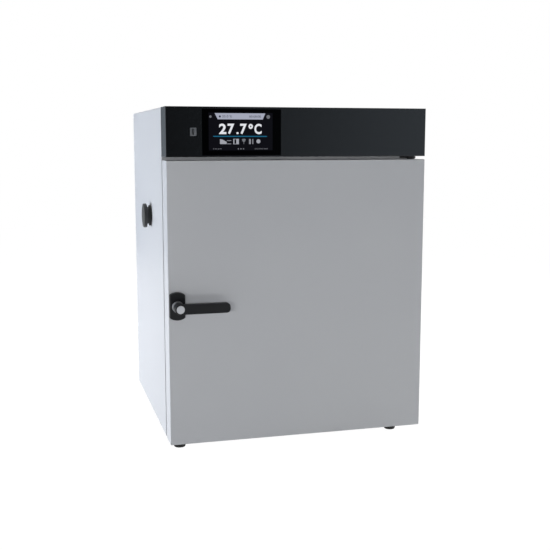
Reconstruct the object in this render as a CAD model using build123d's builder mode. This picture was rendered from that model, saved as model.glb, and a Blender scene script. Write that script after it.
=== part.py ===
from build123d import *
import os
from math import cos, radians, sin

os.makedirs("parts", exist_ok=True)

# A laboratory drying oven. X runs to the right, Y to the back, Z up, in millimetres.
# The floor is at Z = 0, and X and Y are measured from the middle of the whole oven.

# Cabinet
cabinet_width = 650.0
cabinet_depth = 635.0  # from the face of the door to the rear cover
foot_height = 39.0
sheet = 1.5  # painted sheet steel
bend_radius = 2.5
flange_width = 16.0  # of the side panels' folded edges
fit_gap = 0.3  # around pieces that are set into another piece
slip_gap = 0.05  # between a shaft and its bore
press_gap = 0.02  # between a bore and what is pressed into it

# Door
door_height = 686.0
door_thickness = 64.0
door_slit = 8.0  # between the door's top edge and the control panel
seal_gap = 10.0  # between the closed door and the body
door_edge_radius = 1.2
liner_sheet = 1.2
plug_depth = 6.0  # raised middle of the liner
plug_gap = 3.0  # from the gasket to that raised middle
plug_wall = 2.0  # of its sloping edge, measured across
plug_slope = 20.0  # angle of its edge, in degrees
plug_corner = 24.0
gasket_width = 14.0
gasket_inset = 2.0  # from the line at which the gasket would meet the chamber's rim
gasket_lip_radius = 4.9
filling_gap = 3.0  # around what passes the door's filling

# Chamber
side_wall = 95.0  # from the cabinet's side to the chamber
chamber_margin = 73.0  # from the door's top and bottom edges to the chamber's mouth
rear_space = 96.0  # from the chamber's back wall to the rear cover's face
chamber_sheet = 1.2
chamber_rim = 30.0  # steel rim around the mouth, on which the gasket closes
plenum_depth = 62.0  # between the air baffle and the chamber's back wall
rear_mat = 45.0
top_mat = 60.0
floor_space = 22.0  # below the mats, above the base pan
wall_gap = 2.0  # around what passes the chamber's back wall and turns or gets hot
mat_gap = 5.0  # around the fan's shaft, in the rear mat
nut_gap = 1.0  # around the probe and its nut

# Hinge
hinge_inset = 25.0  # from the door's right edge
hinge_setback = 30.0  # from the door's face
hinge_arm_width = 24.0
hinge_arm_thickness = 5.0
hinge_leaf_thickness = 4.0
hinge_leaf_height = 38.0
hinge_foot_length = 60.0  # of the bottom arm, on the base pan
leaf_screw_shares = (0.3, 0.75)  # of the leaf's height
foot_screw_shares = (0.4, 0.8)  # of the foot's length
hinge_pin_radius = 4.0
hinge_pin_chamfer = 0.8
hinge_pin_reach = 18.0  # of the pin inside the door
bush_wall = 3.0
bush_flange_radius = 10.0
bush_flange = 2.0
bush_end_gap = 2.0  # from the pin's end to the bush's end
screw_radius = 2.5
screw_head_radius = 4.5
screw_head_height = 3.0

# Handle and latch
handle_inset = 20.0  # of the handle's axis, from the door's left edge
base_width = 37.0
base_height = 67.0
base_arch = 6.0
base_thickness = 13.0
base_corner = 4.0
base_edge_radius = 2.5
collar_radius = 13.5
collar_length = 14.0
collar_edge_radius = 1.0
hub_radius = 12.5
lever_length = 119.0  # from the axis to the lever's end
lever_height = 24.0
lever_thickness = 12.0
lever_corner = 9.6
lever_edge_radius = 1.2
handle_reach = 56.0  # of the lever's face, in front of the door
cap_radius = 9.5
cap_thickness = 3.0
cap_proud = 1.0
cap_edge_radius = 0.8
spindle_radius = 5.0
claw_reach = 28.0  # from the spindle's axis to the striker post's
claw_half_width = 12.0
claw_thickness = 4.0
claw_play = 1.2  # between the claw's slot and the post
claw_slot_angle = 60.0
post_radius = 4.0
post_flange_radius = 8.0
post_flange = 2.0
post_tail = 12.0
post_chamfer = 1.0

# Control panel
panel_height = 117.0
panel_wall = 3.0
panel_edge_radius = 0.8
glass_width = 191.0
glass_left = 85.5  # from the panel's left edge
glass_bottom = 3.7  # from the panel's bottom edge
glass_top = 5.3  # from the panel's top edge
glass_thickness = 2.8
glass_proud = 0.8
glass_corner = 1.0
module_side = 13.0  # from the glass's left and right edges
module_end = 6.5  # from the glass's upper and lower edges
module_thickness = 6.0
board_side = 2.5  # from the glass's left and right edges
board_end = 5.5  # from the glass's upper and lower edges
board_thickness = 1.6
board_setback = 20.0  # from the panel's face
board_post_radius = 3.0
chip_width = 23.0
chip_height = 19.0
chip_thickness = 3.2
chip_across = 46.5  # from one column of chips to the next
chip_up = 32.0  # from one row of chips to the next
socket_left = 57.0  # from the panel's left edge
socket_width = 15.0
socket_height = 19.0
socket_wall = 1.2
socket_depth = 16.0
socket_slot_width = 5.4
socket_slot_height = 12.8
socket_tongue = 1.6

# Access port in the left side
port_setback = 289.0  # of its axis, from the door's face
port_drop = 76.0  # of its axis, below the chamber's ceiling
port_bore = 15.2
port_tube_wall = 1.4
port_flange_radius = 27.0
port_flange_thickness = 5.0
port_flange_edge = 1.5
port_head_radius = 31.5
port_head_thickness = 9.0
port_head_edge = 2.0
port_waist_radius = 22.0
port_reach = 20.0  # of the plug's head, outside the left side
port_stem_radius = 14.6
port_stem_length = 58.0

# Shelves
rack_pitch = 75.0
rack_floor_gap = 62.0  # at least, from the chamber's floor to the lowest ledge
rack_ceiling_gap = 28.0  # from the chamber's ceiling to the highest ledge
rack_strip_width = 18.0
rack_ledge_width = 14.0
rack_ledge_lip = 9.0  # height of the ledges' turned-down edge, against the wall
rack_front_gap = 14.0  # from the chamber's mouth
rack_back_gap = 17.8  # from the air baffle
shelf_overhang = 6.3  # in front of the ledges, when pulled as far as the door's liner allows
shelf_travel = 46.0
shelf_frame_radius = 3.0
shelf_corner = 12.0
shelf_wire_radius = 1.75
shelf_wires = 15
shelf_play = 2.0  # from the rack's strips, on either side
upper_shelf_count = 5  # ledges from the floor up to the one that carries the upper shelf
lower_shelf_count = 2

# Fan and heating
fan_radius = 75.0
fan_blades = 20
fan_blade_depth = 30.0
fan_blade_thickness = 1.2
fan_blade_length = 22.0
fan_blade_lean, fan_blade_sweep = 9.0, 13.0  # angles of a blade's middle and outer end, in degrees
fan_hub_radius = 12.0
fan_hub_length = 18.0
fan_front_gap = 10.0  # between the air baffle and the fan
shaft_radius = 4.0
motor_radius = 40.0
motor_length = 30.0
motor_edge_radius = 5.0
motor_end_gap = 5.0  # from the shaft's end to the motor's end
motor_flange_radius = 45.0
motor_flange = 3.0
motor_plate_size = 170.0
motor_leg_spacing = 140.0
motor_leg_radius = 5.0
motor_plate_corner = 10.0
element_radius = 4.0
inner_element_ring = 90.0
outer_element_ring = 106.0
element_gap_angle = 30.0
element_bend = 12.0  # of the tube, where a ring turns into a leg
element_tail = 12.0  # of the terminals, behind the chamber's back wall
inlet_hole_radius = 6.0
inlet_hole_rings = 3
inlet_ring_pitch = 18.0
outlet_slots = 9
outlet_slot_length = 34.0
outlet_slot_height = 9.0
outlet_slot_pitch = 52.0
stud_radius = 5.0
stud_inset = 40.0  # of the baffle's studs, from its edges
probe_radius = 2.5
probe_reach = 60.0  # in front of the air baffle
probe_nut_radius = 7.0
probe_nut_length = 8.0
probe_inset = 80.0  # from the chamber's right wall
probe_drop = 62.0  # below the chamber's ceiling

# Exhaust
exhaust_inset = 80.0  # of its axis, from the chamber's right wall
exhaust_drop = 132.0  # of its axis, below the chamber's ceiling
exhaust_bore = 15.0
exhaust_wall = 2.0
exhaust_reach = 28.0  # behind the rear cover
stub_length = 12.0  # of the exhaust's thinner end, over which a hose slides
stub_wall = 1.2
damper_setback = 8.0  # of the flap's spindle, behind the rear cover
damper_play = 0.6
damper_thickness = 1.6
damper_spindle_radius = 2.0
damper_knob_radius = 7.0
damper_knob_length = 12.0
damper_knob_edge = 1.2

# Electrics in the top of the cabinet and on the rear cover
tray_flange = 12.0
supply_width = 150.0
supply_depth = 100.0
supply_height = 40.0
supply_chamfer = 3.0
supply_across = -100.0  # from the middle
sink_width = 90.0
sink_depth = 80.0
sink_base = 6.0
sink_fin = 2.0
sink_fin_height = 26.0
sink_fins = 9
relay_width = 45.0
relay_depth = 58.0
relay_height = 24.0
relay_corner = 4.0
thermostat_radius = 22.0
thermostat_length = 34.0
thermostat_stem_radius = 4.0
thermostat_stem_length = 8.5
electrics_drop = 60.0  # of the mains inlet and the main switch, below the top
inlet_inset = 125.0  # from the left side
inlet_width = 28.0
inlet_height = 20.0
inlet_flange_width = 50.0
inlet_flange_height = 24.0
inlet_flange = 3.0
inlet_wall = 1.8
inlet_depth = 20.0
inlet_recess = 16.0
inlet_pin_spacing = 7.0
inlet_pin_length = 11.0
inlet_pin_width = 2.0
inlet_pin_height = 4.0
inlet_pin_rise = 2.0  # of the middle pin, above the inlet's middle; the others lie as far below
inlet_corner = 4.0
inlet_key = 4.1  # chamfer of the recess's upper corners
switch_right_of_inlet = 60.0
switch_width = 22.0
switch_height = 28.0
switch_wall = 2.0
switch_depth = 18.0
switch_rim = 2.0
rocker_play = 0.5
rocker_tilt = 10.0
rocker_crown = 1.0
rocker_pivot_depth = 5.0  # in front of the rear cover's face
rocker_pin_radius = 1.5
rocker_face_share, rocker_back_share = 0.85, 0.45  # of the rocker's full height
vent_length = 44.0
vent_height = 5.0
vent_pitch = 11.0
vent_rows = 8
vent_column_pitch = 61.6
cover_screw_inset = 22.0
cover_screw_head = 1.8
cover_screw_length = 6.0

# Feet
foot_radius = 19.5
foot_base_radius = 14.0
foot_band = 14.0  # of the foot's full radius
foot_edge_radius = 2.0
foot_side_inset = 38.5
foot_front_inset = 31.0  # of the foot's axis, behind the body's front
foot_rear_inset = 50.0

# Places worked out from the sizes above
x_left = (port_reach - cabinet_width) / 2
x_right = x_left + cabinet_width
x_middle = x_left + cabinet_width / 2
y_front = (handle_reach + cap_proud - cabinet_depth - exhaust_reach) / 2
y_back = y_front + cabinet_depth
y_cover = y_back - sheet
y_door_back = y_front + door_thickness
y_body = y_door_back + seal_gap
z_base = foot_height
z_door_top = z_base + door_height
z_panel = z_door_top + door_slit
z_top = z_panel + panel_height
panel_depth = y_body - y_front
chamber_width = cabinet_width - 2 * side_wall
chamber_height = door_height - 2 * chamber_margin
z_door_middle = z_base + door_height / 2
z_floor = z_door_middle - chamber_height / 2
z_ceiling = z_floor + chamber_height
y_wall = y_back - rear_space  # inner face of the chamber's back wall
chamber_depth = y_wall - y_body
y_wall_back = y_wall + chamber_sheet
y_mat_back = y_wall_back + rear_mat
y_baffle = y_wall - plenum_depth  # rear face of the air baffle
x_chamber_left = x_middle - chamber_width / 2
x_chamber_right = x_middle + chamber_width / 2
outer_width = chamber_width + 2 * chamber_sheet
outer_height = chamber_height + 2 * chamber_sheet
z_mat_bottom = z_base + floor_space
z_mat_top = z_ceiling + chamber_sheet + top_mat

x_hinge = x_right - hinge_inset
y_hinge = y_front + hinge_setback
z_top_arm = z_door_top + bush_flange + fit_gap
z_bottom_arm = z_base + sheet
z_door_floor = z_bottom_arm + hinge_arm_thickness + fit_gap + bush_flange
bush_radius = hinge_pin_radius + slip_gap + bush_wall

x_handle = x_left + handle_inset
z_handle = z_door_middle
z_post = z_handle + claw_reach
y_claw = y_door_back + (seal_gap - post_flange - claw_thickness) / 2
spindle_front = y_front - handle_reach + cap_thickness + lever_thickness / 2
spindle_bore = spindle_radius + slip_gap

glass_height = panel_height - glass_bottom - glass_top
x_glass = x_left + glass_left + glass_width / 2
z_glass = z_panel + glass_bottom + glass_height / 2
glass_back = y_front - glass_proud + glass_thickness
x_socket = x_left + socket_left + socket_width / 2
z_socket = z_panel + panel_height / 2

y_port = y_front + port_setback
port_height = z_ceiling - port_drop
y_rack_front = y_body + rack_front_gap
y_rack_back = y_baffle - chamber_sheet - rack_back_gap
rack_ledge_depth = y_rack_back - y_rack_front
rack_levels = int((chamber_height - rack_floor_gap - rack_ceiling_gap) / rack_pitch) + 1
lowest_ledge = z_ceiling - rack_ceiling_gap - (rack_levels - 1) * rack_pitch
level_heights = [lowest_ledge + k * rack_pitch for k in range(rack_levels)]
shelf_width = chamber_width - 2 * sheet - 2 * shelf_play
y_shelf_back = y_rack_back - fit_gap
y_shelf_front = y_rack_front - shelf_overhang + shelf_travel
y_fan = y_baffle + fan_front_gap
z_fan = z_door_middle
x_exhaust = x_chamber_right - exhaust_inset
exhaust_height = z_ceiling - exhaust_drop
x_probe = x_chamber_right - probe_inset
probe_height = z_ceiling - probe_drop
y_damper = y_back + damper_setback
x_inlet = x_left + inlet_inset
x_switch = x_inlet + switch_right_of_inlet
electrics_height = z_top - electrics_drop
y_rocker = y_back - rocker_pivot_depth


def front_plane(y):
    """A sketch plane that faces the viewer; extruding by a negative amount runs to the back."""
    return Plane.XZ.offset(-y)


def side_plane(x):
    """A sketch plane that faces right, with Y across and Z up."""
    return Plane.YZ.offset(x)


def level(z):
    """A sketch plane that faces up."""
    return Plane.XY.offset(z)


def bore(x, z, radius):
    """A round hole along Y through everything in the current part."""
    with BuildSketch(front_plane(y_front - cabinet_depth)) as hole:
        with Locations((x, z)):
            Circle(radius)
    extrude(hole.sketch, amount=-3 * cabinet_depth, mode=Mode.SUBTRACT)


# Side panels: folded steel sheets, with their top and bottom edges turned in
def folded_side(x_outer, inward):
    """The profile of one side panel; inward is 1 for the left panel and -1 for the right."""
    panel_top = z_top - z_base
    with BuildSketch(front_plane(y_body)) as profile:
        with Locations((x_outer + inward * flange_width / 2, z_base + panel_top / 2)):
            Rectangle(flange_width, panel_top)
        outer = profile.vertices().group_by(Axis.X)[0 if inward == 1 else -1]
        fillet(outer, bend_radius)
        x_inside = x_outer + inward * (sheet + flange_width / 2)
        with Locations((x_inside, z_base + panel_top / 2)):
            Rectangle(flange_width, panel_top - 2 * sheet, mode=Mode.SUBTRACT)
    extrude(profile.sketch, amount=-(y_back - y_body))


with BuildPart() as side_panel_left:
    folded_side(x_left, 1)
    with BuildSketch(side_plane(x_left)):
        with Locations((y_port, port_height)):
            Circle(port_bore + port_tube_wall + fit_gap)
    extrude(amount=2 * sheet, mode=Mode.SUBTRACT)
side_panel_left.part.label = "side_panel_left"
export_step(side_panel_left.part, "parts/side_panel_left.step")

with BuildPart() as side_panel_right:
    folded_side(x_right, -1)
side_panel_right.part.label = "side_panel_right"
export_step(side_panel_right.part, "parts/side_panel_right.step")


# Top cover and base pan: sheets set between the side panels' flanges
inner_plate_width = cabinet_width - 2 * flange_width
y_plate_middle = (y_body + y_back) / 2

with BuildPart() as top_cover:
    with BuildSketch(level(z_top)):
        with Locations((x_middle, y_plate_middle)):
            Rectangle(inner_plate_width, y_back - y_body)
    extrude(amount=-sheet)
top_cover.part.label = "top_cover"
export_step(top_cover.part, "parts/top_cover.step")

foot_places = {
    "front_left": (x_left + foot_side_inset, y_body + foot_front_inset),
    "front_right": (x_right - foot_side_inset, y_body + foot_front_inset),
    "rear_left": (x_left + foot_side_inset, y_back - foot_rear_inset),
    "rear_right": (x_right - foot_side_inset, y_back - foot_rear_inset),
}
bottom_screws = [y_body + hinge_foot_length * share for share in foot_screw_shares]

with BuildPart() as base_pan:
    with BuildSketch(level(z_base)):
        with Locations((x_middle, y_plate_middle)):
            Rectangle(inner_plate_width, y_back - y_body)
        with Locations([(x_hinge, y) for y in bottom_screws]):
            Circle(screw_radius + slip_gap, mode=Mode.SUBTRACT)
    extrude(amount=sheet)
base_pan.part.label = "base_pan"
export_step(base_pan.part, "parts/base_pan.step")


# Front frame: the painted front of the body, around the chamber's steel rim
rim_width = chamber_width + 2 * chamber_rim
rim_height = chamber_height + 2 * chamber_rim
inside_width = cabinet_width - 2 * sheet
z_inside_bottom = z_base + sheet
z_inside_top = z_top - sheet
z_inside_middle = (z_inside_bottom + z_inside_top) / 2
z_leaf = z_top_arm + hinge_arm_thickness
top_screws = [z_leaf + hinge_leaf_height * share for share in leaf_screw_shares]

with BuildPart() as front_frame:
    with BuildSketch(front_plane(y_body)):
        with Locations((x_middle, z_inside_middle)):
            Rectangle(inside_width, z_inside_top - z_inside_bottom)
        with Locations((x_middle, z_door_middle)):
            Rectangle(rim_width, rim_height, mode=Mode.SUBTRACT)
        with Locations((x_handle, z_post)):
            Circle(screw_radius + slip_gap, mode=Mode.SUBTRACT)
        with Locations([(x_hinge, z) for z in top_screws]):
            Circle(screw_radius + slip_gap, mode=Mode.SUBTRACT)
        with Locations((x_hinge, z_bottom_arm + hinge_arm_thickness / 2)):
            slot_width = hinge_arm_width + 2 * fit_gap
            Rectangle(slot_width, hinge_arm_thickness + 2 * fit_gap, mode=Mode.SUBTRACT)
    extrude(amount=-sheet)
front_frame.part.label = "front_frame"
export_step(front_frame.part, "parts/front_frame.step")


# Rear cover: a sheet with ventilation slots, a hole for the exhaust and two cut-outs for the mains
screw_columns = (x_left + cover_screw_inset, x_middle, x_right - cover_screw_inset)
screw_rows = (z_base + cover_screw_inset, z_door_middle, z_top - cover_screw_inset)
cover_screws = [
    (x, z) for x in screw_columns for z in screw_rows if (x, z) != (x_middle, z_door_middle)
]

with BuildPart() as rear_cover:
    with BuildSketch(front_plane(y_cover)):
        with Locations((x_middle, z_inside_middle)):
            Rectangle(inside_width, z_inside_top - z_inside_bottom)
        with Locations((x_exhaust, exhaust_height)):
            Circle(exhaust_bore + exhaust_wall + fit_gap, mode=Mode.SUBTRACT)
        with Locations((x_inlet, electrics_height)):
            Rectangle(inlet_width + fit_gap, inlet_height + fit_gap, mode=Mode.SUBTRACT)
        with Locations((x_switch, electrics_height)):
            Rectangle(switch_width + fit_gap, switch_height + fit_gap, mode=Mode.SUBTRACT)
        with Locations(cover_screws):
            Circle(screw_radius + slip_gap, mode=Mode.SUBTRACT)
        with Locations((x_middle, z_fan), (x_exhaust, electrics_height)):
            with GridLocations(vent_column_pitch, vent_pitch, 2, vent_rows):
                SlotOverall(vent_length, vent_height, mode=Mode.SUBTRACT)
    extrude(amount=-sheet)
rear_cover.part.label = "rear_cover"
export_step(rear_cover.part, "parts/rear_cover.step")

with BuildPart() as rear_cover_screws:
    with BuildSketch(front_plane(y_back)):
        with Locations(cover_screws):
            Circle(screw_head_radius)
    extrude(amount=-cover_screw_head)
    fillet(rear_cover_screws.faces().group_by(Axis.Y)[-1].edges(), cover_screw_head / 2)
    with BuildSketch(front_plane(y_back)):
        with Locations(cover_screws):
            Circle(screw_radius)
    extrude(amount=cover_screw_length)
rear_cover_screws.part.label = "rear_cover_screws"
export_step(rear_cover_screws.part, "parts/rear_cover_screws.step")


# Chamber: a steel box, open at the front, with a rim around its mouth
y_probe_nut = y_wall_back + probe_nut_length
stud_x = chamber_width / 2 - stud_inset
stud_z = chamber_height / 2 - stud_inset
element_rings = (inner_element_ring, outer_element_ring)
y_elements = y_fan + fan_blade_depth / 2


def ring_place(ring, turn, along=0.0):
    """A place on a heating element's ring, moved along the ring's direction by a length."""
    x = x_middle + ring * cos(radians(turn)) - along * sin(radians(turn))
    z = z_fan + ring * sin(radians(turn)) + along * cos(radians(turn))
    return x, z


def element_legs(ring, start):
    """The two places where a heating element's legs pass the chamber's back wall."""
    end = start + 360 - element_gap_angle
    return [ring_place(ring, start, -element_bend), ring_place(ring, end, element_bend)]


element_starts = (105.0, 285.0)
leg_places = [p for r, s in zip(element_rings, element_starts) for p in element_legs(r, s)]
motor_legs = motor_leg_spacing / 2

with BuildPart() as chamber:
    with BuildSketch(front_plane(y_body)):
        with Locations((x_middle, z_door_middle)):
            Rectangle(rim_width, rim_height)
    extrude(amount=-chamber_sheet)
    with BuildSketch(front_plane(y_body)):
        with Locations((x_middle, z_door_middle)):
            Rectangle(outer_width, outer_height)
    extrude(amount=-(chamber_depth + chamber_sheet))
    with BuildSketch(front_plane(y_body)):
        with Locations((x_middle, z_door_middle)):
            Rectangle(chamber_width, chamber_height)
    extrude(amount=-chamber_depth, mode=Mode.SUBTRACT)
    bore(x_middle, z_fan, shaft_radius + wall_gap)
    bore(x_exhaust, exhaust_height, exhaust_bore)
    bore(x_probe, probe_height, probe_radius + slip_gap)
    for x, z in leg_places:
        bore(x, z, element_radius + slip_gap)
    with BuildSketch(side_plane(x_chamber_left - chamber_sheet)):
        with Locations((y_port, port_height)):
            Circle(port_bore)
    extrude(amount=chamber_sheet, mode=Mode.SUBTRACT)
chamber.part.label = "chamber"
export_step(chamber.part, "parts/chamber.step")


# Mineral wool: one mat on each side of the chamber, one above, one below and one behind
side_mat = (cabinet_width - outer_width) / 2 - sheet
mat_depth = y_mat_back - y_body - sheet
y_mat_middle = y_body + sheet + mat_depth / 2
mat_height = z_mat_top - z_mat_bottom
y_mat_front = y_body + sheet
x_side_mats = (x_left + sheet + side_mat / 2, x_right - sheet - side_mat / 2)
bottom_mat = z_floor - chamber_sheet - z_mat_bottom

with BuildPart() as insulation_mats:
    with BuildSketch(level(z_mat_bottom)):
        with Locations([(x, y_mat_middle) for x in x_side_mats]):
            Rectangle(side_mat, mat_depth)
    extrude(amount=mat_height)
    with BuildSketch(side_plane(x_left)):
        with Locations((y_port, port_height)):
            Circle(port_bore + port_tube_wall + fit_gap)
    extrude(amount=side_mat + 2 * sheet, mode=Mode.SUBTRACT)
    with BuildSketch(front_plane(y_mat_front)):
        with Locations((x_handle, z_post)):
            Circle(post_flange_radius)
    extrude(amount=-post_tail, mode=Mode.SUBTRACT)
with BuildPart() as insulation_block:
    with BuildSketch(level(z_mat_bottom)):
        with Locations((x_middle, y_mat_middle)):
            Rectangle(outer_width - 2 * fit_gap, mat_depth)
    extrude(amount=bottom_mat - fit_gap)
    with BuildSketch(level(z_ceiling + chamber_sheet + fit_gap)):
        with Locations((x_middle, y_mat_middle)):
            Rectangle(outer_width - 2 * fit_gap, mat_depth)
    extrude(amount=top_mat - fit_gap)
    with BuildSketch(front_plane(y_wall_back + fit_gap)):
        with Locations((x_middle, z_door_middle)):
            Rectangle(outer_width - 2 * fit_gap, outer_height - 2 * fit_gap)
    extrude(amount=-(rear_mat - fit_gap))
    bore(x_middle, z_fan, shaft_radius + mat_gap)
    bore(x_exhaust, exhaust_height, exhaust_bore + exhaust_wall + fit_gap)
    bore(x_probe, probe_height, probe_nut_radius + nut_gap)
    for x, z in leg_places:
        bore(x, z, element_radius + wall_gap)
    for dx in (-motor_legs, motor_legs):
        for dz in (-motor_legs, motor_legs):
            bore(x_middle + dx, z_fan + dz, motor_leg_radius + fit_gap)
all_mats = Compound(children=insulation_mats.solids() + insulation_block.solids())
all_mats.label = "insulation_mats"
export_step(all_mats, "parts/insulation_mats.step")


# Air baffle: a steel plate in front of the fan, with an inlet grille and two columns of outlet slots
baffle_play = 1.0
inlet_holes = [(x_middle, z_fan)]
for ring in range(1, inlet_hole_rings + 1):
    for step in range(6 * ring):
        angle = radians(360 / (6 * ring) * step)
        reach = ring * inlet_ring_pitch
        inlet_holes.append((x_middle + reach * cos(angle), z_fan + reach * sin(angle)))
slot_column = chamber_width / 2 - stud_inset
stud_sides = [(dx, dz) for dx in (-stud_x, stud_x) for dz in (-stud_z, stud_z)]
baffle_studs_at = [(x_middle + dx, z_door_middle + dz) for dx, dz in stud_sides]

with BuildPart() as air_baffle:
    with BuildSketch(front_plane(y_baffle - chamber_sheet)):
        with Locations((x_middle, z_door_middle)):
            Rectangle(chamber_width - 2 * baffle_play, chamber_height - 2 * baffle_play)
        with Locations(inlet_holes):
            Circle(inlet_hole_radius, mode=Mode.SUBTRACT)
        with Locations((x_middle, z_fan)):
            with GridLocations(2 * slot_column, outlet_slot_pitch, 2, outlet_slots):
                SlotOverall(outlet_slot_length, outlet_slot_height, mode=Mode.SUBTRACT)
        with Locations((x_probe, probe_height)):
            Circle(probe_radius + nut_gap, mode=Mode.SUBTRACT)
        with Locations(baffle_studs_at):
            Circle(screw_radius + slip_gap, mode=Mode.SUBTRACT)
    extrude(amount=-chamber_sheet)
air_baffle.part.label = "air_baffle"
export_step(air_baffle.part, "parts/air_baffle.step")

with BuildPart() as baffle_studs:
    with BuildSketch(front_plane(y_wall)):
        with Locations(baffle_studs_at):
            Circle(stud_radius)
    extrude(amount=plenum_depth)
    with BuildSketch(front_plane(y_baffle)):
        with Locations(baffle_studs_at):
            Circle(screw_radius)
    extrude(amount=chamber_sheet)
    with BuildSketch(front_plane(y_baffle - chamber_sheet)):
        with Locations(baffle_studs_at):
            RegularPolygon(stud_radius, 6)
    extrude(amount=screw_head_height)
baffle_studs.part.label = "baffle_studs"
export_step(baffle_studs.part, "parts/baffle_studs.step")


# Shelf racks: two upright strips on either side wall, joined by ledges that carry the shelves
rack_height = level_heights[-1] - z_floor + rack_strip_width
strip_places = (y_rack_front + rack_strip_width, y_rack_back - rack_strip_width)
strip_middle = z_floor + rack_height / 2


def shelf_rack(x_wall, inward):
    """One rack on the wall at x_wall; inward is 1 on the left wall and -1 on the right."""
    with BuildSketch(side_plane(x_wall)) as strips:
        with Locations([(y, strip_middle) for y in strip_places]):
            Rectangle(rack_strip_width, rack_height)
    extrude(strips.sketch, amount=inward * sheet)
    with BuildSketch(front_plane(y_rack_front)) as ledges:
        for z in level_heights:
            with Locations((x_wall + inward * rack_ledge_width / 2, z - sheet / 2)):
                Rectangle(rack_ledge_width, sheet)
            with Locations((x_wall + inward * sheet / 2, z - rack_ledge_lip / 2)):
                Rectangle(sheet, rack_ledge_lip)
    extrude(ledges.sketch, amount=-rack_ledge_depth)


with BuildPart() as shelf_rack_left:
    shelf_rack(x_chamber_left, 1)
shelf_rack_left.part.label = "shelf_rack_left"
export_step(shelf_rack_left.part, "parts/shelf_rack_left.step")

with BuildPart() as shelf_rack_right:
    shelf_rack(x_chamber_right, -1)
shelf_rack_right.part.label = "shelf_rack_right"
export_step(shelf_rack_right.part, "parts/shelf_rack_right.step")


# Wire shelves: a bent frame of round bar, with thin wires welded on top from front to back
def wire_shelf(z_ledge):
    """One shelf, resting on the ledges whose upper face is at z_ledge."""
    half_width = shelf_width / 2 - shelf_frame_radius
    z_bar = z_ledge + shelf_frame_radius
    bar_front = y_shelf_front + shelf_frame_radius
    bar_back = y_shelf_back - shelf_frame_radius
    with BuildSketch(level(z_bar)) as outline:
        with Locations((x_middle, (bar_front + bar_back) / 2)):
            RectangleRounded(2 * half_width, bar_back - bar_front, shelf_corner)
    frame_line = outline.sketch.wires()[0]
    with BuildSketch(Plane(frame_line @ 0, z_dir=frame_line % 0)) as bar:
        Circle(shelf_frame_radius)
    sweep(bar.sketch, path=frame_line)
    pitch = 2 * half_width / (shelf_wires + 1)
    z_wire = z_bar + shelf_frame_radius - shelf_wire_radius / 2
    with BuildSketch(front_plane(bar_front)) as wires:
        with Locations((x_middle, z_wire)):
            with GridLocations(pitch, 0, shelf_wires, 1):
                Circle(shelf_wire_radius)
    extrude(wires.sketch, amount=-(bar_back - bar_front))


with BuildPart() as shelf_upper:
    wire_shelf(level_heights[upper_shelf_count - 1])
shelf_upper.part.label = "shelf_upper"
export_step(shelf_upper.part, "parts/shelf_upper.step")

with BuildPart() as shelf_lower:
    wire_shelf(level_heights[lower_shelf_count - 1])
shelf_lower.part.label = "shelf_lower"
export_step(shelf_lower.part, "parts/shelf_lower.step")


# Heating elements: two open rings of tube around the fan, with legs through the back wall
y_terminal = y_wall_back + element_tail
y_bend = y_elements + element_bend
bend_along = element_bend * sin(radians(45))
y_mid_bend = y_bend - bend_along

with BuildPart() as heating_elements:
    for ring, start in zip(element_rings, element_starts):
        end = start + 360 - element_gap_angle
        first_leg, last_leg = element_legs(ring, start)
        first_bend = ring_place(ring, start, -bend_along)
        last_bend = ring_place(ring, end, bend_along)
        ring_start = ring_place(ring, start)
        ring_far = ring_place(ring, (start + end) / 2)
        ring_end = ring_place(ring, end)
        with BuildLine() as route:
            Line((first_leg[0], y_terminal, first_leg[1]), (first_leg[0], y_bend, first_leg[1]))
            ThreePointArc(
                (first_leg[0], y_bend, first_leg[1]),
                (first_bend[0], y_mid_bend, first_bend[1]),
                (ring_start[0], y_elements, ring_start[1]),
            )
            ThreePointArc(
                (ring_start[0], y_elements, ring_start[1]),
                (ring_far[0], y_elements, ring_far[1]),
                (ring_end[0], y_elements, ring_end[1]),
            )
            ThreePointArc(
                (ring_end[0], y_elements, ring_end[1]),
                (last_bend[0], y_mid_bend, last_bend[1]),
                (last_leg[0], y_bend, last_leg[1]),
            )
            Line((last_leg[0], y_bend, last_leg[1]), (last_leg[0], y_terminal, last_leg[1]))
        with BuildSketch(Plane(route.line @ 0, z_dir=route.line % 0)):
            Circle(element_radius)
        sweep()
heating_elements.part.label = "heating_elements"
export_step(heating_elements.part, "parts/heating_elements.step")


# Fan: a back plate with curved blades and a front ring, on a shaft from the motor
shaft_front = y_fan + fan_blade_depth - fan_hub_length
shaft_back = y_mat_back + sheet + motor_flange + motor_length - motor_end_gap
hub_bore = shaft_radius + press_gap

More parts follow.
